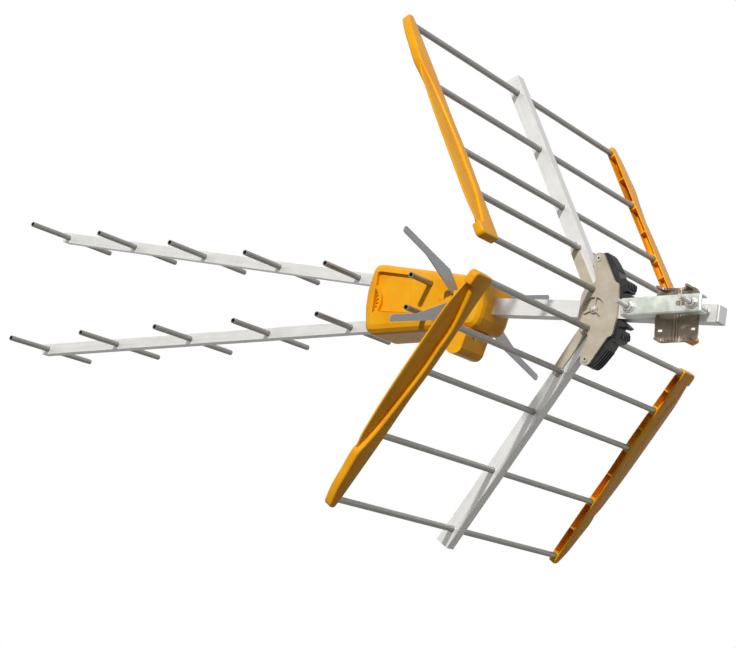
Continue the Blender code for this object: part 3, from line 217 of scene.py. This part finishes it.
class Finish:
    """A Principled material with helpers for noise in object space."""

    def __init__(self, name, roughness, specular, metallic=0.0, coat=0.0, coat_roughness=0.1):
        self.material = bpy.data.materials.new(name)
        self.material.use_nodes = True
        self.nodes = self.material.node_tree.nodes
        self.links = self.material.node_tree.links
        self.shader = self.nodes["Principled BSDF"]
        self.shader.inputs["Roughness"].default_value = roughness
        self.shader.inputs["Metallic"].default_value = metallic
        self.shader.inputs["Specular IOR Level"].default_value = specular
        self.shader.inputs["Coat Weight"].default_value = coat
        self.shader.inputs["Coat Roughness"].default_value = coat_roughness
        self.place = self.nodes.new("ShaderNodeTexCoord")

    def mapping(self, scale=(1.0, 1.0, 1.0)):
        """Object space, stretched."""
        node = self.nodes.new("ShaderNodeMapping")
        node.inputs["Scale"].default_value = scale
        self.links.new(self.place.outputs["Object"], node.inputs["Vector"])
        return node.outputs["Vector"]

    def stretched(self, scale, turn):
        """Object space turned first and stretched after, so streaks run along a leaning piece."""
        first = self.nodes.new("ShaderNodeMapping")
        first.inputs["Rotation"].default_value = turn
        self.links.new(self.place.outputs["Object"], first.inputs["Vector"])
        second = self.nodes.new("ShaderNodeMapping")
        second.inputs["Scale"].default_value = scale
        self.links.new(first.outputs["Vector"], second.inputs["Vector"])
        return second.outputs["Vector"]

    def noise(self, vector, scale, detail, roughness):
        node = self.nodes.new("ShaderNodeTexNoise")
        node.inputs["Scale"].default_value = scale
        node.inputs["Detail"].default_value = detail
        node.inputs["Roughness"].default_value = roughness
        self.links.new(vector, node.inputs["Vector"])
        return node.outputs["Fac"]

    def cells(self, scale):
        """The shade of Voronoi cells, as one value each."""
        node = self.nodes.new("ShaderNodeTexVoronoi")
        node.inputs["Scale"].default_value = scale
        self.links.new(self.mapping(), node.inputs["Vector"])
        grey = self.nodes.new("ShaderNodeRGBToBW")
        self.links.new(node.outputs["Color"], grey.inputs[0])
        return grey.outputs[0]

    def ramp(self, value, stops):
        """A colour ramp from (position, colour) stops."""
        node = self.nodes.new("ShaderNodeValToRGB")
        ramp = node.color_ramp
        ramp.elements[0].position = stops[0][0]
        ramp.elements[0].color = (*stops[0][1], 1.0)
        ramp.elements[1].position = stops[-1][0]
        ramp.elements[1].color = (*stops[-1][1], 1.0)
        for position, colour in stops[1:-1]:
            made = ramp.elements.new(position)
            made.color = (*colour, 1.0)
        self.links.new(value, node.inputs["Fac"])
        return node.outputs["Color"]

    def spread(self, value, source, target):
        """The value moved from one (low, high) range to another."""
        node = self.nodes.new("ShaderNodeMapRange")
        node.inputs["From Min"].default_value, node.inputs["From Max"].default_value = source
        node.inputs["To Min"].default_value, node.inputs["To Max"].default_value = target
        self.links.new(value, node.inputs["Value"])
        return node.outputs["Result"]

    def multiply(self, first, second, factor):
        """The first colour, with the second laid over it by a factor."""
        node = self.nodes.new("ShaderNodeMix")
        node.data_type = "RGBA"
        node.blend_type = "MULTIPLY"
        node.inputs["Factor"].default_value = factor
        self.links.new(first, node.inputs["A"])
        self.links.new(second, node.inputs["B"])
        return node.outputs["Result"]

    def add(self, first, second, weight):
        """The first value plus the second times a weight."""
        node = self.nodes.new("ShaderNodeMath")
        node.operation = "MULTIPLY_ADD"
        self.links.new(second, node.inputs[0])
        node.inputs[1].default_value = weight
        self.links.new(first, node.inputs[2])
        return node.outputs[0]

    def colour(self, socket):
        self.links.new(socket, self.shader.inputs["Base Color"])

    def gloss(self, socket):
        self.links.new(socket, self.shader.inputs["Roughness"])

    def bump(self, height, distance, strength):
        node = self.nodes.new("ShaderNodeBump")
        node.inputs["Distance"].default_value = distance
        node.inputs["Strength"].default_value = strength
        self.links.new(height, node.inputs["Height"])
        self.links.new(node.outputs["Normal"], self.shader.inputs["Normal"])


def tinted(tint, factor):
    """A darker or lighter tint, held at one."""
    return tuple(min(1.0, c * factor) for c in tint)


def aluminium(name, turn, tint=(0.80, 0.80, 0.79), metallic=0.35):
    """Mill-finish extrusion: die lines along the piece, dull oxide clouds and a few small stains."""
    f = Finish(name, roughness=0.42, metallic=metallic, specular=0.5)
    lines = f.noise(f.stretched((3.0, 260.0, 260.0), turn), scale=4.0, detail=4.0, roughness=0.6)
    clouds = f.noise(f.mapping(), scale=38.0, detail=5.0, roughness=0.6)
    spots = f.noise(f.mapping(), scale=420.0, detail=2.0, roughness=0.5)
    base = f.ramp(lines, [(0.25, tinted(tint, 0.86)), (0.55, tint), (0.8, tinted(tint, 1.05))])
    cloudy = f.ramp(clouds, [(0.30, (0.86, 0.86, 0.85)), (0.62, WHITE)])
    stained = f.ramp(spots, [(0.24, (0.80, 0.79, 0.77)), (0.36, WHITE)])
    f.colour(f.multiply(f.multiply(base, cloudy, 0.45), stained, 0.4))
    f.gloss(f.spread(f.add(clouds, lines, 0.5), (0.3, 1.1), (0.34, 0.56)))
    f.bump(f.add(lines, clouds, 0.3), distance=0.00012, strength=0.5)
    return f.material


def rod_aluminium():
    """Drawn tube, greyer than the booms, with long streaks along Y and a slight bloom."""
    f = Finish("rod_aluminium_drawn", roughness=0.4, metallic=0.7, specular=0.5)
    lines = f.noise(f.mapping((300.0, 4.0, 300.0)), scale=3.0, detail=3.0, roughness=0.55)
    clouds = f.noise(f.mapping(), scale=60.0, detail=4.0, roughness=0.6)
    base = f.ramp(lines, [(0.25, (0.24, 0.235, 0.225)), (0.75, (0.36, 0.35, 0.335))])
    cloudy = f.ramp(clouds, [(0.32, (0.84, 0.84, 0.83)), (0.6, WHITE)])
    f.colour(f.multiply(base, cloudy, 0.8))
    f.gloss(f.spread(clouds, (0.3, 0.7), (0.30, 0.52)))
    f.bump(lines, distance=0.0001, strength=0.4)
    return f.material


def yellow_plastic():
    """Weathered amber moulding with a fine spark texture, slight fading and dust."""
    f = Finish("amber_moulding", roughness=0.38, specular=0.20, coat=0.10, coat_roughness=0.16)
    clouds = f.noise(f.mapping(), scale=22.0, detail=5.0, roughness=0.6)
    grain = f.noise(f.mapping(), scale=1500.0, detail=2.0, roughness=0.5)
    flow = f.noise(f.mapping((12.0, 30.0, 30.0)), scale=2.0, detail=4.0, roughness=0.6)
    base = f.ramp(clouds, [
        (0.28, (0.85, 0.345, 0.003)),
        (0.50, (0.93, 0.420, 0.004)),
        (0.74, (0.97, 0.475, 0.008)),
    ])
    shade = f.ramp(flow, [(0.30, (0.92, 0.90, 0.88)), (0.60, WHITE)])
    f.colour(f.multiply(base, shade, 0.7))
    f.gloss(f.spread(f.add(clouds, grain, 0.3), (0.3, 0.95), (0.34, 0.52)))
    f.bump(grain, distance=0.00018, strength=0.35)
    return f.material


def casting():
    """Die-cast zinc alloy gone matt and slightly beige, with a pebbled skin."""
    f = Finish("die_casting", roughness=0.55, metallic=0.2, specular=0.4)
    skin = f.noise(f.mapping(), scale=900.0, detail=3.0, roughness=0.6)
    clouds = f.noise(f.mapping(), scale=45.0, detail=5.0, roughness=0.62)
    base = f.ramp(clouds, [
        (0.28, (0.45, 0.40, 0.31)),
        (0.52, (0.54, 0.485, 0.385)),
        (0.76, (0.61, 0.56, 0.46)),
    ])
    tone = f.ramp(f.cells(260.0), [(0.0, (0.93, 0.93, 0.93)), (1.0, WHITE)])
    f.colour(f.multiply(base, tone, 0.8))
    f.gloss(f.spread(skin, (0.3, 0.7), (0.46, 0.66)))
    f.bump(f.add(skin, clouds, 0.8), distance=0.0003, strength=0.55)
    return f.material


def galvanised(name, tint):
    """Zinc-plated sheet and bolts: faint spangles, and a cloudy tint."""
    f = Finish(name, roughness=0.38, metallic=0.75, specular=0.5)
    cells = f.cells(210.0)
    clouds = f.noise(f.mapping(), scale=55.0, detail=4.0, roughness=0.6)
    spangle = f.ramp(cells, [(0.2, (0.90, 0.91, 0.90)), (0.8, WHITE)])
    base = f.ramp(clouds, [(0.28, tinted(tint, 0.74)), (0.55, tint), (0.78, tinted(tint, 1.14))])
    f.colour(f.multiply(base, spangle, 0.8))
    f.gloss(f.spread(f.add(clouds, cells, 0.3), (0.3, 0.9), (0.28, 0.50)))
    f.bump(clouds, distance=0.0002, strength=0.3)
    return f.material


def black_plastic():
    """Glass-filled black moulding, satin, a little grey where the sun has bleached it."""
    f = Finish("black_moulding", roughness=0.42, specular=0.45)
    clouds = f.noise(f.mapping(), scale=90.0, detail=4.0, roughness=0.6)
    grain = f.noise(f.mapping(), scale=1300.0, detail=2.0, roughness=0.5)
    f.colour(f.ramp(clouds, [(0.3, (0.006, 0.0065, 0.007)), (0.7, (0.020, 0.021, 0.023))]))
    f.gloss(f.spread(clouds, (0.3, 0.7), (0.34, 0.55)))
    f.bump(grain, distance=0.00015, strength=0.4)
    return f.material


def circuit_board():
    """Green solder mask over glass weave."""
    f = Finish("solder_mask", roughness=0.35, specular=0.5)
    weave = f.noise(f.mapping((900.0, 900.0, 900.0)), scale=1.0, detail=2.0, roughness=0.5)
    f.colour(f.ramp(weave, [(0.3, (0.012, 0.085, 0.030)), (0.7, (0.020, 0.130, 0.048))]))
    f.bump(weave, distance=0.0001, strength=0.3)
    return f.material


def dress_nodes():
    """Gives every CAD node its finish. Only materials change here."""
    along_x = (0.0, 0.0, 0.0)
    finishes = {
        "boom": aluminium("aluminium_main_boom", along_x),
        "upper_boom": aluminium("aluminium_upper_boom", (0.0, BOOM_SPREAD, 0.0)),
        "lower_boom": aluminium("aluminium_lower_boom", (0.0, -BOOM_SPREAD, 0.0)),
        "upper_arm": aluminium("aluminium_upper_arm", (0.0, math.pi / 2 - PANEL_LEAN, 0.0)),
        "lower_arm": aluminium("aluminium_lower_arm", (0.0, PANEL_LEAN - math.pi / 2, 0.0)),
        "blade": aluminium("aluminium_blade", (0.0, 0.0, math.pi / 2), (0.40, 0.42, 0.45), 0.6),
        "rod": rod_aluminium(),
        "yellow": yellow_plastic(),
        "casting": casting(),
        "clamp": galvanised("galvanised_sheet", (0.70, 0.755, 0.69)),
        # The saddle's dark brown tint is painted shade: the same zinc finish as the bracket, darkened for
        # where it sits in shadow behind the mast.
        "saddle": galvanised("shade_darkened_zinc", (0.27, 0.215, 0.165)),
        "screw": galvanised("zinc_plated_steel", (0.62, 0.61, 0.58)),
        "black": black_plastic(),
        "board": circuit_board(),
    }
    by_slot = {
        "aluminium": "boom",
        "rod_aluminium": "rod",
        "yellow_plastic": "yellow",
        "casting": "casting",
        "plated_steel": "screw",
        "black_plastic": "black",
        "circuit_board": "board",
    }
    by_node = {
        "upper_director_boom": "upper_boom",
        "lower_director_boom": "lower_boom",
        "upper_arm": "upper_arm",
        "lower_arm": "lower_arm",
        "dipole_near": "blade",
        "dipole_far": "blade",
        "mast_bracket": "clamp",
        "mast_saddle": "saddle",
    }
    for name, node in NODES.items():
        for index, material in enumerate(node.data.materials):
            slot = material.name.split(".")[0]
            kind = by_node.get(name, by_slot.get(slot, "screw"))
            node.material_slots[index].material = finishes[kind]
    return finishes


# ---------------------------------------------------------------- shaping helpers

def centre(name):
    low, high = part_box(name)
    return (Vector(low) + Vector(high)) / 2


def mid_plane():
    """Where the antenna's plane of symmetry cuts the Y axis."""
    return centre("main_boom").y


def face_out(bm, mesh):
    """Writes the bmesh to the mesh, with every face looking outwards, and frees it."""
    bmesh.ops.recalc_face_normals(bm, faces=list(bm.faces))
    bm.to_mesh(mesh)
    bm.free()


def mesh_of(name, build):
    """A mesh from a function that fills a bmesh."""
    bm = bmesh.new()
    build(bm)
    mesh = bpy.data.meshes.new(name)
    face_out(bm, mesh)
    return mesh


def add_piece(name, build, finish, body="antenna_body"):
    """A closed mesh from a function that fills a bmesh, riding on a body."""
    mesh = mesh_of(name, build)
    mesh.materials.append(finish)
    obj = add_object(name, mesh)
    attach(obj, body)
    return obj


def turns(count):
    """Angles all the way round."""
    return [2 * math.pi * i / count for i in range(count)]


def join_rings(bm, rings, closed):
    """Faces between rings of equal count. closed joins the last to the first, else the ends are capped."""
    made = [[bm.verts.new(point) for point in ring] for ring in rings]
    count = len(made[0])
    pairs = list(zip(made, made[1:]))
    if closed:
        pairs.append((made[-1], made[0]))
    for first, second in pairs:
        for i in range(count):
            j = (i + 1) % count
            bm.faces.new((first[i], first[j], second[j], second[i]))
    if not closed:
        bm.faces.new(list(reversed(made[0])))
        bm.faces.new(made[-1])


def prism(bm, outline, y_low, y_high):
    """A closed slab from an outline in (x, z)."""
    join_rings(bm, [[(x, y, z) for x, z in outline] for y in (y_low, y_high)], False)


def band(path, inside, outside):
    """A strip that follows a path in (x, z), from a little under it to a little over it."""
    over, under = [], []
    for i, (x, z) in enumerate(path):
        ax, az = path[max(0, i - 1)]
        bx, bz = path[min(len(path) - 1, i + 1)]
        length = math.hypot(bx - ax, bz - az)
        nx, nz = (bz - az) / length, -(bx - ax) / length
        over.append((x - nx * outside, z - nz * outside))
        under.append((x + nx * inside, z + nz * inside))
    return over + list(reversed(under))


# ---------------------------------------------------------------- threads and nuts

# The bolt's radius, then the thread's pitch and height
CLAMP_THREAD = (0.003, 0.00125, 0.0003)
HUB_THREAD = (0.0025, 0.001, 0.00025)
THREAD_SEGMENTS = 16
THREAD_SINK = 0.0001
# Half the ridge's foot, as a share of the pitch
THREAD_HALF = 0.36
# The plain bolt left by the nut, and at the bolt's end
CLAMP_THREAD_ENDS = (0.0008, 0.0012)
HUB_THREAD_ENDS = (0.0005, 0.0006)

NUT_SEGMENTS = 36
NUT_CORNER = 0.0068
NUT_CHAMFER = 0.0009
NUT_BORE = 0.0034
NUT_MOUTH = 0.0005
NUT_MOUTH_DEPTH = 0.0006
NUT_FLANGE = 0.0083
NUT_FLANGE_HEIGHT = 0.0013
NUT_FLANGE_EDGE = 0.0005
# The upright part of the flange's rim, as a share of its height
NUT_FLANGE_RIM = 0.6


def thread(bm, x, z, y_start, y_end, radius, pitch, height):
    """A helical ridge round a bolt, with its root just inside the shank."""
    steps = int((y_end - y_start) / pitch * THREAD_SEGMENTS)
    root = radius - THREAD_SINK
    half = THREAD_HALF * pitch
    rings = []
    for step in range(steps + 1):
        angle = 2 * math.pi * step / THREAD_SEGMENTS
        y = y_start + (y_end - y_start) * step / steps
        section = ((root, -half), (radius + height, 0.0), (root, half))
        rings.append([(x + r * math.cos(angle), y + dy, z + r * math.sin(angle)) for r, dy in section])
    join_rings(bm, rings, False)


def flange_nut(bm, x, z, y_base, y_top):
    """A hexagon nut with chamfered corners on a round washer face."""
    apothem = NUT_CORNER * math.cos(math.pi / 6)

    def ring(y, radius, hexagonal):
        points = []
        for angle in turns(NUT_SEGMENTS):
            reach = radius
            if hexagonal:
                across = apothem / math.cos((angle % (math.pi / 3)) - math.pi / 6)
                reach = min(radius, across)
            points.append((x + reach * math.cos(angle), y, z + reach * math.sin(angle)))
        return points

    join_rings(bm, [
        ring(y_base, NUT_BORE, False),
        ring(y_base, NUT_FLANGE, False),
        ring(y_base + NUT_FLANGE_RIM * NUT_FLANGE_HEIGHT, NUT_FLANGE, False),
        ring(y_base + NUT_FLANGE_HEIGHT, NUT_FLANGE - NUT_FLANGE_EDGE, False),
        ring(y_base + NUT_FLANGE_HEIGHT, NUT_CORNER, True),
        ring(y_top - NUT_CHAMFER, NUT_CORNER, True),
        ring(y_top, apothem, True),
        ring(y_top, NUT_BORE + NUT_MOUTH, False),
        ring(y_top - NUT_MOUTH_DEPTH, NUT_BORE, False),
    ], True)


def make_fasteners(finishes):
    """Threads on the clamp bolts and the hub bolt, and the clamp's flanged nuts."""
    steel = finishes["screw"]
    by_nut, by_end = CLAMP_THREAD_ENDS
    for place in ("front", "rear"):
        nut = f"{place}_clamp_nut"
        middle = centre(nut)
        low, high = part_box(nut)
        _, bolt_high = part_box(f"{place}_clamp_bolt")
        flanged = add_piece(
            f"{place}_flange_nut",
            lambda bm: flange_nut(bm, middle.x, middle.z, low[1], high[1]),
            steel,
        )
        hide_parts(nut)
        start, end = high[1] + by_nut, bolt_high[1] - by_end
        add_piece(
            f"{place}_bolt_thread",
            lambda bm: thread(bm, middle.x, middle.z, start, end, *CLAMP_THREAD),
            steel,
        )
    middle = centre("hub_nut")
    low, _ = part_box("hub_nut")
    bolt_low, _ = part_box("hub_bolt")
    by_nut, by_end = HUB_THREAD_ENDS
    start, end = bolt_low[1] + by_end, low[1] - by_nut
    add_piece(
        "hub_bolt_thread",
        lambda bm: thread(bm, middle.x, middle.z, start, end, *HUB_THREAD),
        steel,
    )


# ---------------------------------------------------------------- ribs, fins, rings and lines

# The ribs over a lock's back, then those on its thumb block: the path in (x, z) that they follow, half
# a rib's width, and where they stand across the lock
LOCK_RIBS = (
    (
        [(0.1135, 0.0741), (0.1095, 0.0738), (0.1055, 0.0705), (0.1005, 0.0645), (0.0955, 0.0575),
         (0.0912, 0.0515)],
        0.0011,
        (-0.0082, -0.0028, 0.0028, 0.0082),
    ),
    (
        [(0.0728, 0.0365), (0.0722, 0.0330), (0.0726, 0.0285)],
        0.0008,
        (-0.0084, -0.0042, 0.0, 0.0042, 0.0084),
    ),
)
RIB_SINK = 0.0012
RIB_HEIGHT = 0.0009

# The round seat's middle in (x, z), how far its floor is from the mid-plane, and the fins' degrees
SEAT_CENTRE = (0.457, -0.004)
SEAT_FLOOR = 0.0332
SEAT_FINS = (
    ("near_seat_fins", NEAR, (-38, -22, -7, 9, 25, 40)),
    ("far_seat_fins", FAR, (-38, -22, 34)),
)
FIN_RISE = 0.0027
# The fins start on a straight line across the seat and end on a circle round its middle.
FIN_START = 0.0156
FIN_END = 0.0224
FIN_BEND = 0.10
FIN_HALF = 0.0006
FIN_STEPS = 5

# How far the housing's side is from the mid-plane, and the rings on it as (x, z, radius)
SIDE_FACE = 0.040
SCREW_RING = (0.3344, 0.0019, 0.0025)
HOLDER_RING = (0.3057, 0.0141, 0.0028)
SIDE_RINGS = (
    ("near_side_rings", NEAR, (SCREW_RING, HOLDER_RING)),
    ("far_side_rings", FAR, (HOLDER_RING,)),
)
# A ring's section, as steps from its radius and from the housing's side
RING_PROFILE = ((0.0, -0.0006), (0.0, 0.0006), (-0.0004, 0.0009), (-0.0010, 0.0009), (-0.0012, -0.0006))
RING_SEGMENTS = 20

# The border of the side panel: its rear side and its lower side in (x, z)
PANEL_LINES = (
    [(0.3829, 0.0235), (0.3794, -0.0172)],
    [(0.4282, -0.0181), (0.3793, -0.0186)],
)
LINE_HALF = 0.0004
# Where a line starts and ends, from the mid-plane
LINE_DEPTHS = (0.0394, 0.0406)


def make_lock_ribs(finishes):
    """Moulded ribs over each lock's back and on its thumb block."""
    mid_y = centre("upper_lock").y
    for side, sign in (("upper", UP), ("lower", DOWN)):
        def build(bm):
            for path, half, places in LOCK_RIBS:
                strip = [(x, sign * z) for x, z in band(path, RIB_SINK, RIB_HEIGHT)]
                for y in places:
                    prism(bm, strip, mid_y + y - half, mid_y + y + half)
        add_piece(f"{side}_lock_ribs", build, finishes["black"])


def make_seat_fins(finishes):
    """Plain curved fins in the round seat at the housing's front edge."""
    mid_y = mid_plane()
    centre_x, centre_z = SEAT_CENTRE
    for name, side, places in SEAT_FINS:
        def build(bm):
            for degrees in places:
                angle = math.pi + math.radians(degrees)
                inner = FIN_START / math.cos(math.radians(degrees))
                left, right = [], []
                for step in range(FIN_STEPS + 1):
                    radius = inner + (FIN_END - inner) * step / FIN_STEPS
                    bend = angle + FIN_BEND * math.sin(math.pi * step / FIN_STEPS)
                    width = FIN_HALF / radius
                    for edge, turn in ((left, bend - width), (right, bend + width)):
                        edge.append((centre_x + radius * math.cos(turn), centre_z - radius * math.sin(turn)))
                ends = sorted((mid_y + side * SEAT_FLOOR, mid_y + side * (SEAT_FLOOR + FIN_RISE)))
                prism(bm, left + list(reversed(right)), *ends)
        add_piece(name, build, finishes["yellow"])


def make_side_rings(finishes):
    """Small moulded rings on both sides of the housing, over the middle screw and the blade holder."""
    mid_y = mid_plane()
    for name, side, places in SIDE_RINGS:
        def build(bm):
            face = mid_y + side * SIDE_FACE
            for x, z, radius in places:
                rings = []
                for inward, rise in RING_PROFILE:
                    reach, y = radius + inward, face + side * rise
                    rings.append([
                        (x + reach * math.cos(a), y, z + reach * math.sin(a)) for a in turns(RING_SEGMENTS)
                    ])
                join_rings(bm, rings, True)
        add_piece(name, build, finishes["yellow"])


def make_panel_lines(finishes):
    """The raised border along the rear and lower sides of the housing's side panel."""
    mid_y = mid_plane()
    for name, side in (("near_panel_lines", NEAR), ("far_panel_lines", FAR)):
        def build(bm):
            ends = sorted(mid_y + side * depth for depth in LINE_DEPTHS)
            for path in PANEL_LINES:
                prism(bm, band(path, LINE_HALF, LINE_HALF), *ends)
        add_piece(name, build, finishes["yellow"])


# ---------------------------------------------------------------- end strips

# In millimetres from here to SOCKET_SEGMENTS. Points are (along, across): how far out along the arm from
# the hinge, then how far from the antenna's mid-plane. Depths are towards the rear.
CAP_OUTER = [
    (14, 287.5), (24, 284.6), (65, 275), (97, 275), (129, 275), (171, 279), (205, 283), (230, 287.5),
    (248, 292.3), (258, 292.5), (277, 290), (300, 287.5), (319, 282), (324, 278),
]
CAP_INNER = [
    (1, 261.5), (60, 261.5), (120, 261.5), (168, 264.7), (226, 265), (290, 267), (316, 268),
]
CAP_WING = [
    (11, 296.5), (50, 303), (95, 303), (140, 303), (180, 302), (208, 300), (228, 298), (246, 292.6),
]
CURVE_PIECES = 4

# Each corner as the point before it, the corner itself, the point after it, and how far it is rounded.
# The outer curve is left for the tip at TIP_START.
TIP_START = 318
TIP_CORNERS = (
    ((315, 268), (326.5, 269.0), (326.5, 279.5), 4.5),
    ((326.5, 269.0), (326.5, 279.5), (TIP_START, 282.5), 5.5),
)
ROOT_CORNERS = (
    ((13.0, 285), (13.0, 297.0), (-5.5, 297.0), 3.0),
    ((13.0, 297.0), (-5.5, 297.0), (-5.5, 261.5), 7.0),
    ((-5.5, 297.0), (-5.5, 261.5), (20, 261.5), 4.5),
)
CORNER_STEPS = 5
# The least cosine that a corner is divided by, so that a sharp one isn't moved too far
MITRE_LIMIT = 0.7

CAP_HALF = 6.0
CAP_WALL = 1.6
# The radius of a rim's rounding, and its steps
CAP_RIM = (2.4, 4)
WING_ROOT = (9, 275)
WING_TIP = (248, 278)
WING_LIMIT = 303.0
WING_DEPTHS = (0.5, 3.0)
WING_RIM = (0.8, 2)

# Where the rods' sockets are, with open cells between them
CAP_STATIONS = (0, 65, 129, 222, 316)
CELL_MOUTH = 250
CELL_COVER = 3.0
CELL_STEPS = 6
DIVIDER_HALF = 1
SOCKET_HALF = 6.5
SOCKET_RADIUS = 4.3
SOCKET_END = 271.0
SOCKET_SEGMENTS = 24

MM = 0.001
HINGE_X = 0.1214
HINGE_Z = 0.0255
SHARP_EDGE = math.radians(38)


def catmull_rom(a, b, c, d, t):
    """The curve from b to c, which a and d lead into and out of."""
    linear = (c - a) * t
    square = (2 * a - 5 * b + 4 * c - d) * t * t
    cube = (3 * b - a - 3 * c + d) * t ** 3
    return 0.5 * (2 * b + linear + square + cube)


def smooth_curve(points):
    """A curve through (along, across) points."""
    result = []
    for i in range(len(points) - 1):
        before, here = points[max(0, i - 1)], points[i]
        after, last = points[i + 1], points[min(len(points) - 1, i + 2)]
        for step in range(CURVE_PIECES):
            t = step / CURVE_PIECES
            result.append(tuple(catmull_rom(*values, t) for values in zip(before, here, after, last)))
    result.append(points[-1])
    return result


def across_at(curve, along):
    """How far across a curve is, at a distance along it."""
    for (a0, y0), (a1, y1) in zip(curve, curve[1:]):
        if a0 <= along <= a1:
            return y0 + (y1 - y0) * (along - a0) / (a1 - a0)
    return curve[0][1] if along < curve[0][0] else curve[-1][1]


def corner(before, here, after, radius):
    """A rounded corner as points on a quadratic curve."""
    middle = Vector(here)
    start = middle + (Vector(before) - middle).normalized() * radius
    end = middle + (Vector(after) - middle).normalized() * radius
    return [
        tuple(start * (1 - t) ** 2 + middle * 2 * t * (1 - t) + end * t ** 2)
        for t in (step / CORNER_STEPS for step in range(CORNER_STEPS + 1))
    ]


def slab(bm, outline, low, high):
    """A closed slab whose outline is (along, across), from low to high towards the rear."""
    join_rings(bm, [[(along, across, depth) for along, across in outline] for depth in (low, high)], False)


def shrink(outline, distance):
    """The outline moved inwards by a distance, corner by corner."""
    count = len(outline)
    area = sum(
        outline[i - 1][0] * outline[i][1] - outline[i][0] * outline[i - 1][1] for i in range(count)
    )
    side = 1.0 if area > 0 else -1.0
    result = []
    for i in range(count):
        before, here, after = (Vector(outline[j]) for j in (i - 1, i, (i + 1) % count))
        first, second = (here - before).normalized(), (after - here).normalized()
        normal = Vector((-(first.y + second.y), first.x + second.x)).normalized() * side
        reach = 1.0 / max(MITRE_LIMIT, math.sqrt((1.0 + first.dot(second)) / 2))
        result.append(tuple(here + normal * distance * reach))
    return result


def rounded_slab(bm, outline, low, high, radius, steps):
    """A closed slab with a quarter round along both rims."""
    rings = []
    for rim, inward in ((low, 1.0), (high, -1.0)):
        part = []
        for step in range(steps + 1):
            angle = math.pi / 2 * step / steps
            offset, depth = radius * (1 - math.sin(angle)), radius * (1 - math.cos(angle))
            part.append([(a, y, rim + inward * depth) for a, y in shrink(outline, offset)])
        rings.append(part)
    join_rings(bm, rings[0] + list(reversed(rings[1])), False)


def cap_mesh(wing_side):
    """The moulding in millimetres: a rounded body, its thin wing, and cells open on the inner side."""
    outer = smooth_curve(CAP_OUTER)
    body = smooth_curve(CAP_INNER)
    for points in TIP_CORNERS:
        body += corner(*points)
    body += [point for point in reversed(outer) if point[0] < TIP_START]
    for points in ROOT_CORNERS:
        body += corner(*points)
    wing = [WING_ROOT] + [(a, min(y, WING_LIMIT)) for a, y in smooth_curve(CAP_WING)] + [WING_TIP]

    def build_body(bm):
        rounded_slab(bm, body, -CAP_HALF, CAP_HALF, *CAP_RIM)

    def build_wing(bm):
        low, high = sorted(wing_side * depth for depth in WING_DEPTHS)
        rounded_slab(bm, wing, low, high, *WING_RIM)

    def build_cells(bm):
        for start, end in zip(CAP_STATIONS, CAP_STATIONS[1:]):
            first, last = start + SOCKET_HALF, end - SOCKET_HALF
            middle = (first + last) / 2
            for low, high in ((first, middle - DIVIDER_HALF), (middle + DIVIDER_HALF, last)):
                outline = [(low, CELL_MOUTH)]
                for step in range(CELL_STEPS + 1):
                    along = low + (high - low) * step / CELL_STEPS
                    outline.append((along, across_at(outer, along) - CELL_COVER))
                outline.append((high, CELL_MOUTH))
                slab(bm, outline, CAP_WALL - CAP_HALF, CAP_HALF - CAP_WALL)
        for along in CAP_STATIONS:
            join_rings(bm, [
                [
                    (along + SOCKET_RADIUS * math.cos(t), y, SOCKET_RADIUS * math.sin(t))
                    for t in turns(SOCKET_SEGMENTS)
                ]
                for y in (CELL_MOUTH, SOCKET_END)
            ], False)

    body_object = add_object("cap_body", mesh_of("cap_body", build_body))
    helpers = []
    for name, build, operation in (
        ("cap_wing", build_wing, "UNION"),
        ("cap_cells", build_cells, "DIFFERENCE"),
    ):
        helper = add_object(name, mesh_of(name, build))
        helpers.append(helper)
        modifier = body_object.modifiers.new(name, "BOOLEAN")
        modifier.operation = operation
        modifier.solver = "EXACT"
        modifier.object = helper
    evaluated = body_object.evaluated_get(bpy.context.evaluated_depsgraph_get())
    shaped = bpy.data.meshes.new_from_object(evaluated)
    for extra in [body_object] + helpers:
        bpy.data.objects.remove(extra, do_unlink=True)
    return shaped


def place_cap(mesh, lift, side, mid_y):
    """Moves a moulding in millimetres to its panel's end, above or below the boom and near or far."""
    out = Vector((math.sin(PANEL_LEAN), 0.0, lift * math.cos(PANEL_LEAN)))
    rear = Vector((-math.cos(PANEL_LEAN), 0.0, lift * math.sin(PANEL_LEAN)))
    start = Vector((HINGE_X, mid_y, lift * HINGE_Z))
    for vert in mesh.vertices:
        along, across, depth = vert.co * MM
        vert.co = start + along * out + depth * rear + Vector((0.0, side * across, 0.0))
    bm = bmesh.new()
    bm.from_mesh(mesh)
    face_out(bm, mesh)


def make_caps(finishes):
    """The four end strips. Their tips taper, which the CAD's square-ended solids don't."""
    mid_y = mid_plane()
    shapes = {1.0: cap_mesh(1.0), -1.0: cap_mesh(-1.0)}
    for panel, lift in (("upper", UP), ("lower", DOWN)):
        for place, side in (("near", NEAR), ("far", FAR)):
            mesh = shapes[lift * side].copy()
            mesh.name = f"{panel}_{place}_strip"
            place_cap(mesh, lift, side, mid_y)
            mesh.polygons.foreach_set("use_smooth", [True] * len(mesh.polygons))
            mesh.set_sharp_from_angle(angle=SHARP_EDGE)
            mesh.materials.clear()
            mesh.materials.append(finishes["yellow"])
            strip = add_object(mesh.name, mesh)
            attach(strip, f"{panel}_panel")
            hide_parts(f"{panel}_{place}_cap")


make_camera()
make_lamps()
make_world()
make_floor()
FINISHES = dress_nodes()
make_fasteners(FINISHES)
make_lock_ribs(FINISHES)
make_seat_fins(FINISHES)
make_side_rings(FINISHES)
make_panel_lines(FINISHES)
make_caps(FINISHES)

bpy.context.scene.view_settings.view_transform = "Standard"
